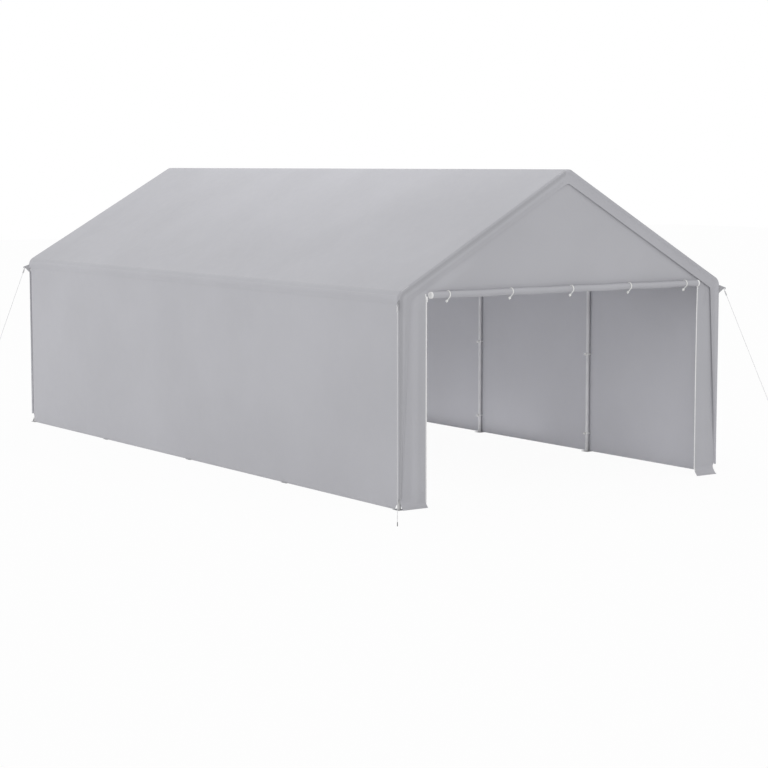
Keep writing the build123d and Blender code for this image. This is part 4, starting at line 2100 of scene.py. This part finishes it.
@dataclass
class Studio:
    """Pale floor, soft light and the camera at the photograph's angle."""

    layout: Layout
    azimuth: float = math.radians(34.44)
    pitch: float = math.radians(6.195)
    roll: float = math.radians(-0.055)
    location: Triple = (-12.68, -19.338, 3.21)
    lens: float = 95.72
    sensor: float = 36.0
    view_reach: float = 200.0
    floor_half: float = 60.0
    floor_lines: int = 3
    floor_colour: Triple = (236, 236, 236)
    floor_glow: float = 0.95
    sky_level: float = 0.79
    sun_level: float = 0.95
    sun_place: Triple = (0.0, 0.0, 6.0)
    sun_from: Triple = (-0.84, -0.52, 0.16)
    sun_angle: float = math.radians(50)
    bay_margin: float = 0.3
    bay_height: float = 0.02

    def build(self) -> None:
        """Set up the camera, the floor and the light."""
        bpy.context.scene.view_settings.view_transform = "Standard"
        self.build_camera()
        self.build_floor()
        self.build_world()
        self.build_lamps()

    def build_camera(self) -> None:
        """Aim the camera: it looks along its azimuth, tipped down by its pitch and turned by its roll."""
        level = math.sin(self.azimuth) * X_AXIS + math.cos(self.azimuth) * Y_AXIS
        forward = math.cos(self.pitch) * level - math.sin(self.pitch) * Z_AXIS
        right = math.cos(self.azimuth) * X_AXIS - math.sin(self.azimuth) * Y_AXIS
        up = np.cross(right, forward)
        turned_right = math.cos(self.roll) * right + math.sin(self.roll) * up
        turned_up = math.cos(self.roll) * up - math.sin(self.roll) * right
        place = np.eye(4)
        place[:3, :3] = np.stack((turned_right, turned_up, -forward), axis=1)
        place[:3, 3] = self.location
        lens = bpy.data.cameras.new("camera")
        lens.lens = self.lens
        lens.sensor_width = self.sensor
        lens.clip_end = self.view_reach
        camera = link("camera", lens)
        camera.matrix_world = Matrix(place.tolist())
        bpy.context.scene.camera = camera

    def build_floor(self) -> None:
        """Lay the floor: pale and matt, lifted towards white where the camera or a reflection sees it."""
        side = np.linspace(-self.floor_half, self.floor_half, self.floor_lines)
        points = grid(side[:, None], side, 0.0).reshape(-1, 3)
        number = np.arange(len(points)).reshape(len(side), -1)
        mesh = bpy.data.meshes.new("floor")
        mesh.from_pydata(points.tolist(), [], quads(number).tolist())
        made = bpy.data.materials.new("studio floor")
        w = Wiring(emptied(made))
        matt = w.node("ShaderNodeBsdfDiffuse", {"Color": tone(*self.floor_colour)}).outputs[0]
        glow = w.node("ShaderNodeEmission", {"Color": (1.0, 1.0, 1.0, 1.0), "Strength": 1.0}).outputs[0]
        share = w.sum("MULTIPLY", w.seen(), self.floor_glow)
        mixed = w.node("ShaderNodeMixShader", {0: share, 1: matt, 2: glow}).outputs[0]
        w.node("ShaderNodeOutputMaterial", {0: mixed})
        mesh.materials.append(made)
        floor = link("floor", mesh)

    def build_world(self) -> None:
        """Even sky light, with a white background where the camera or a reflection sees it."""
        world = bpy.data.worlds.new("studio")
        w = Wiring(emptied(world))
        level = w.sum("MULTIPLY_ADD", w.seen(), 1.0 - self.sky_level, self.sky_level)
        sky = w.node("ShaderNodeBackground", {"Color": (1.0, 1.0, 1.0, 1.0), "Strength": level}).outputs[0]
        w.node("ShaderNodeOutputWorld", {0: sky})
        bpy.context.scene.world = world

    def build_lamps(self) -> None:
        """Hang a wide soft sun, panels over the ridge and on the left, and three panels in the bay."""
        sun = bpy.data.lights.new("key", "SUN")
        sun.energy = self.sun_level
        sun.angle = self.sun_angle
        link("key", sun).matrix_world = Matrix(facing(self.sun_place, self.sun_from, X_AXIS).tolist())
        up, down, left = (0.0, 0.0, 1.0), (0.0, 0.0, -1.0), (-1.0, 0.0, 0.0)
        aslant = (-1.0, 0.25, 0.15)
        low = self.bay_height
        bay = tuple(2 * half - self.bay_margin for half in (self.layout.panel_face, self.layout.leg_x))
        panels = (
            Panel("top_panel", place=(0.6, 0.5, 5.6), back=up, size=(7.8, 0.6), level=50.0),
            Panel("side_panel", place=(-8.0, 5.0, 2.6), back=aslant, size=(3.0, 2.0), level=26.0),
            Panel("bay_fill", place=(-1.87, 0.0, 0.6), back=left, size=(7.2, 0.9), level=54.0),
            Panel("bay_glow", place=(0.0, 0.0, low), back=down, size=bay, level=16.0),
            Panel("bay_foot", place=(1.7, 1.28, low), back=down, size=(4.9, 0.35), level=3.2),
        )
        for panel in panels:
            panel.hang()


def main() -> None:
    """Build the carport's pieces in order, then the studio around them."""
    logging.basicConfig(level=logging.INFO, format="%(name)s %(message)s")
    layout = Layout.from_frame()
    palette = Palette()
    SteelFrame(layout, palette).build()
    RoofCloth(layout, palette).build()
    for side in Side:
        SideWall(layout, palette, side).build()
    ties = BallTies(layout, palette)
    for end in End:
        cloth = EndCloth(layout, palette, end)
        cloth.build()
        DoorZips(cloth).build()
        RolledCurtain(cloth).build()
        ties.build_door(end)
    for side in Side:
        ties.build_walls(side)
    GuyLines(layout, palette).build()
    Studio(layout).build()


if __name__ == "__main__":
    main()
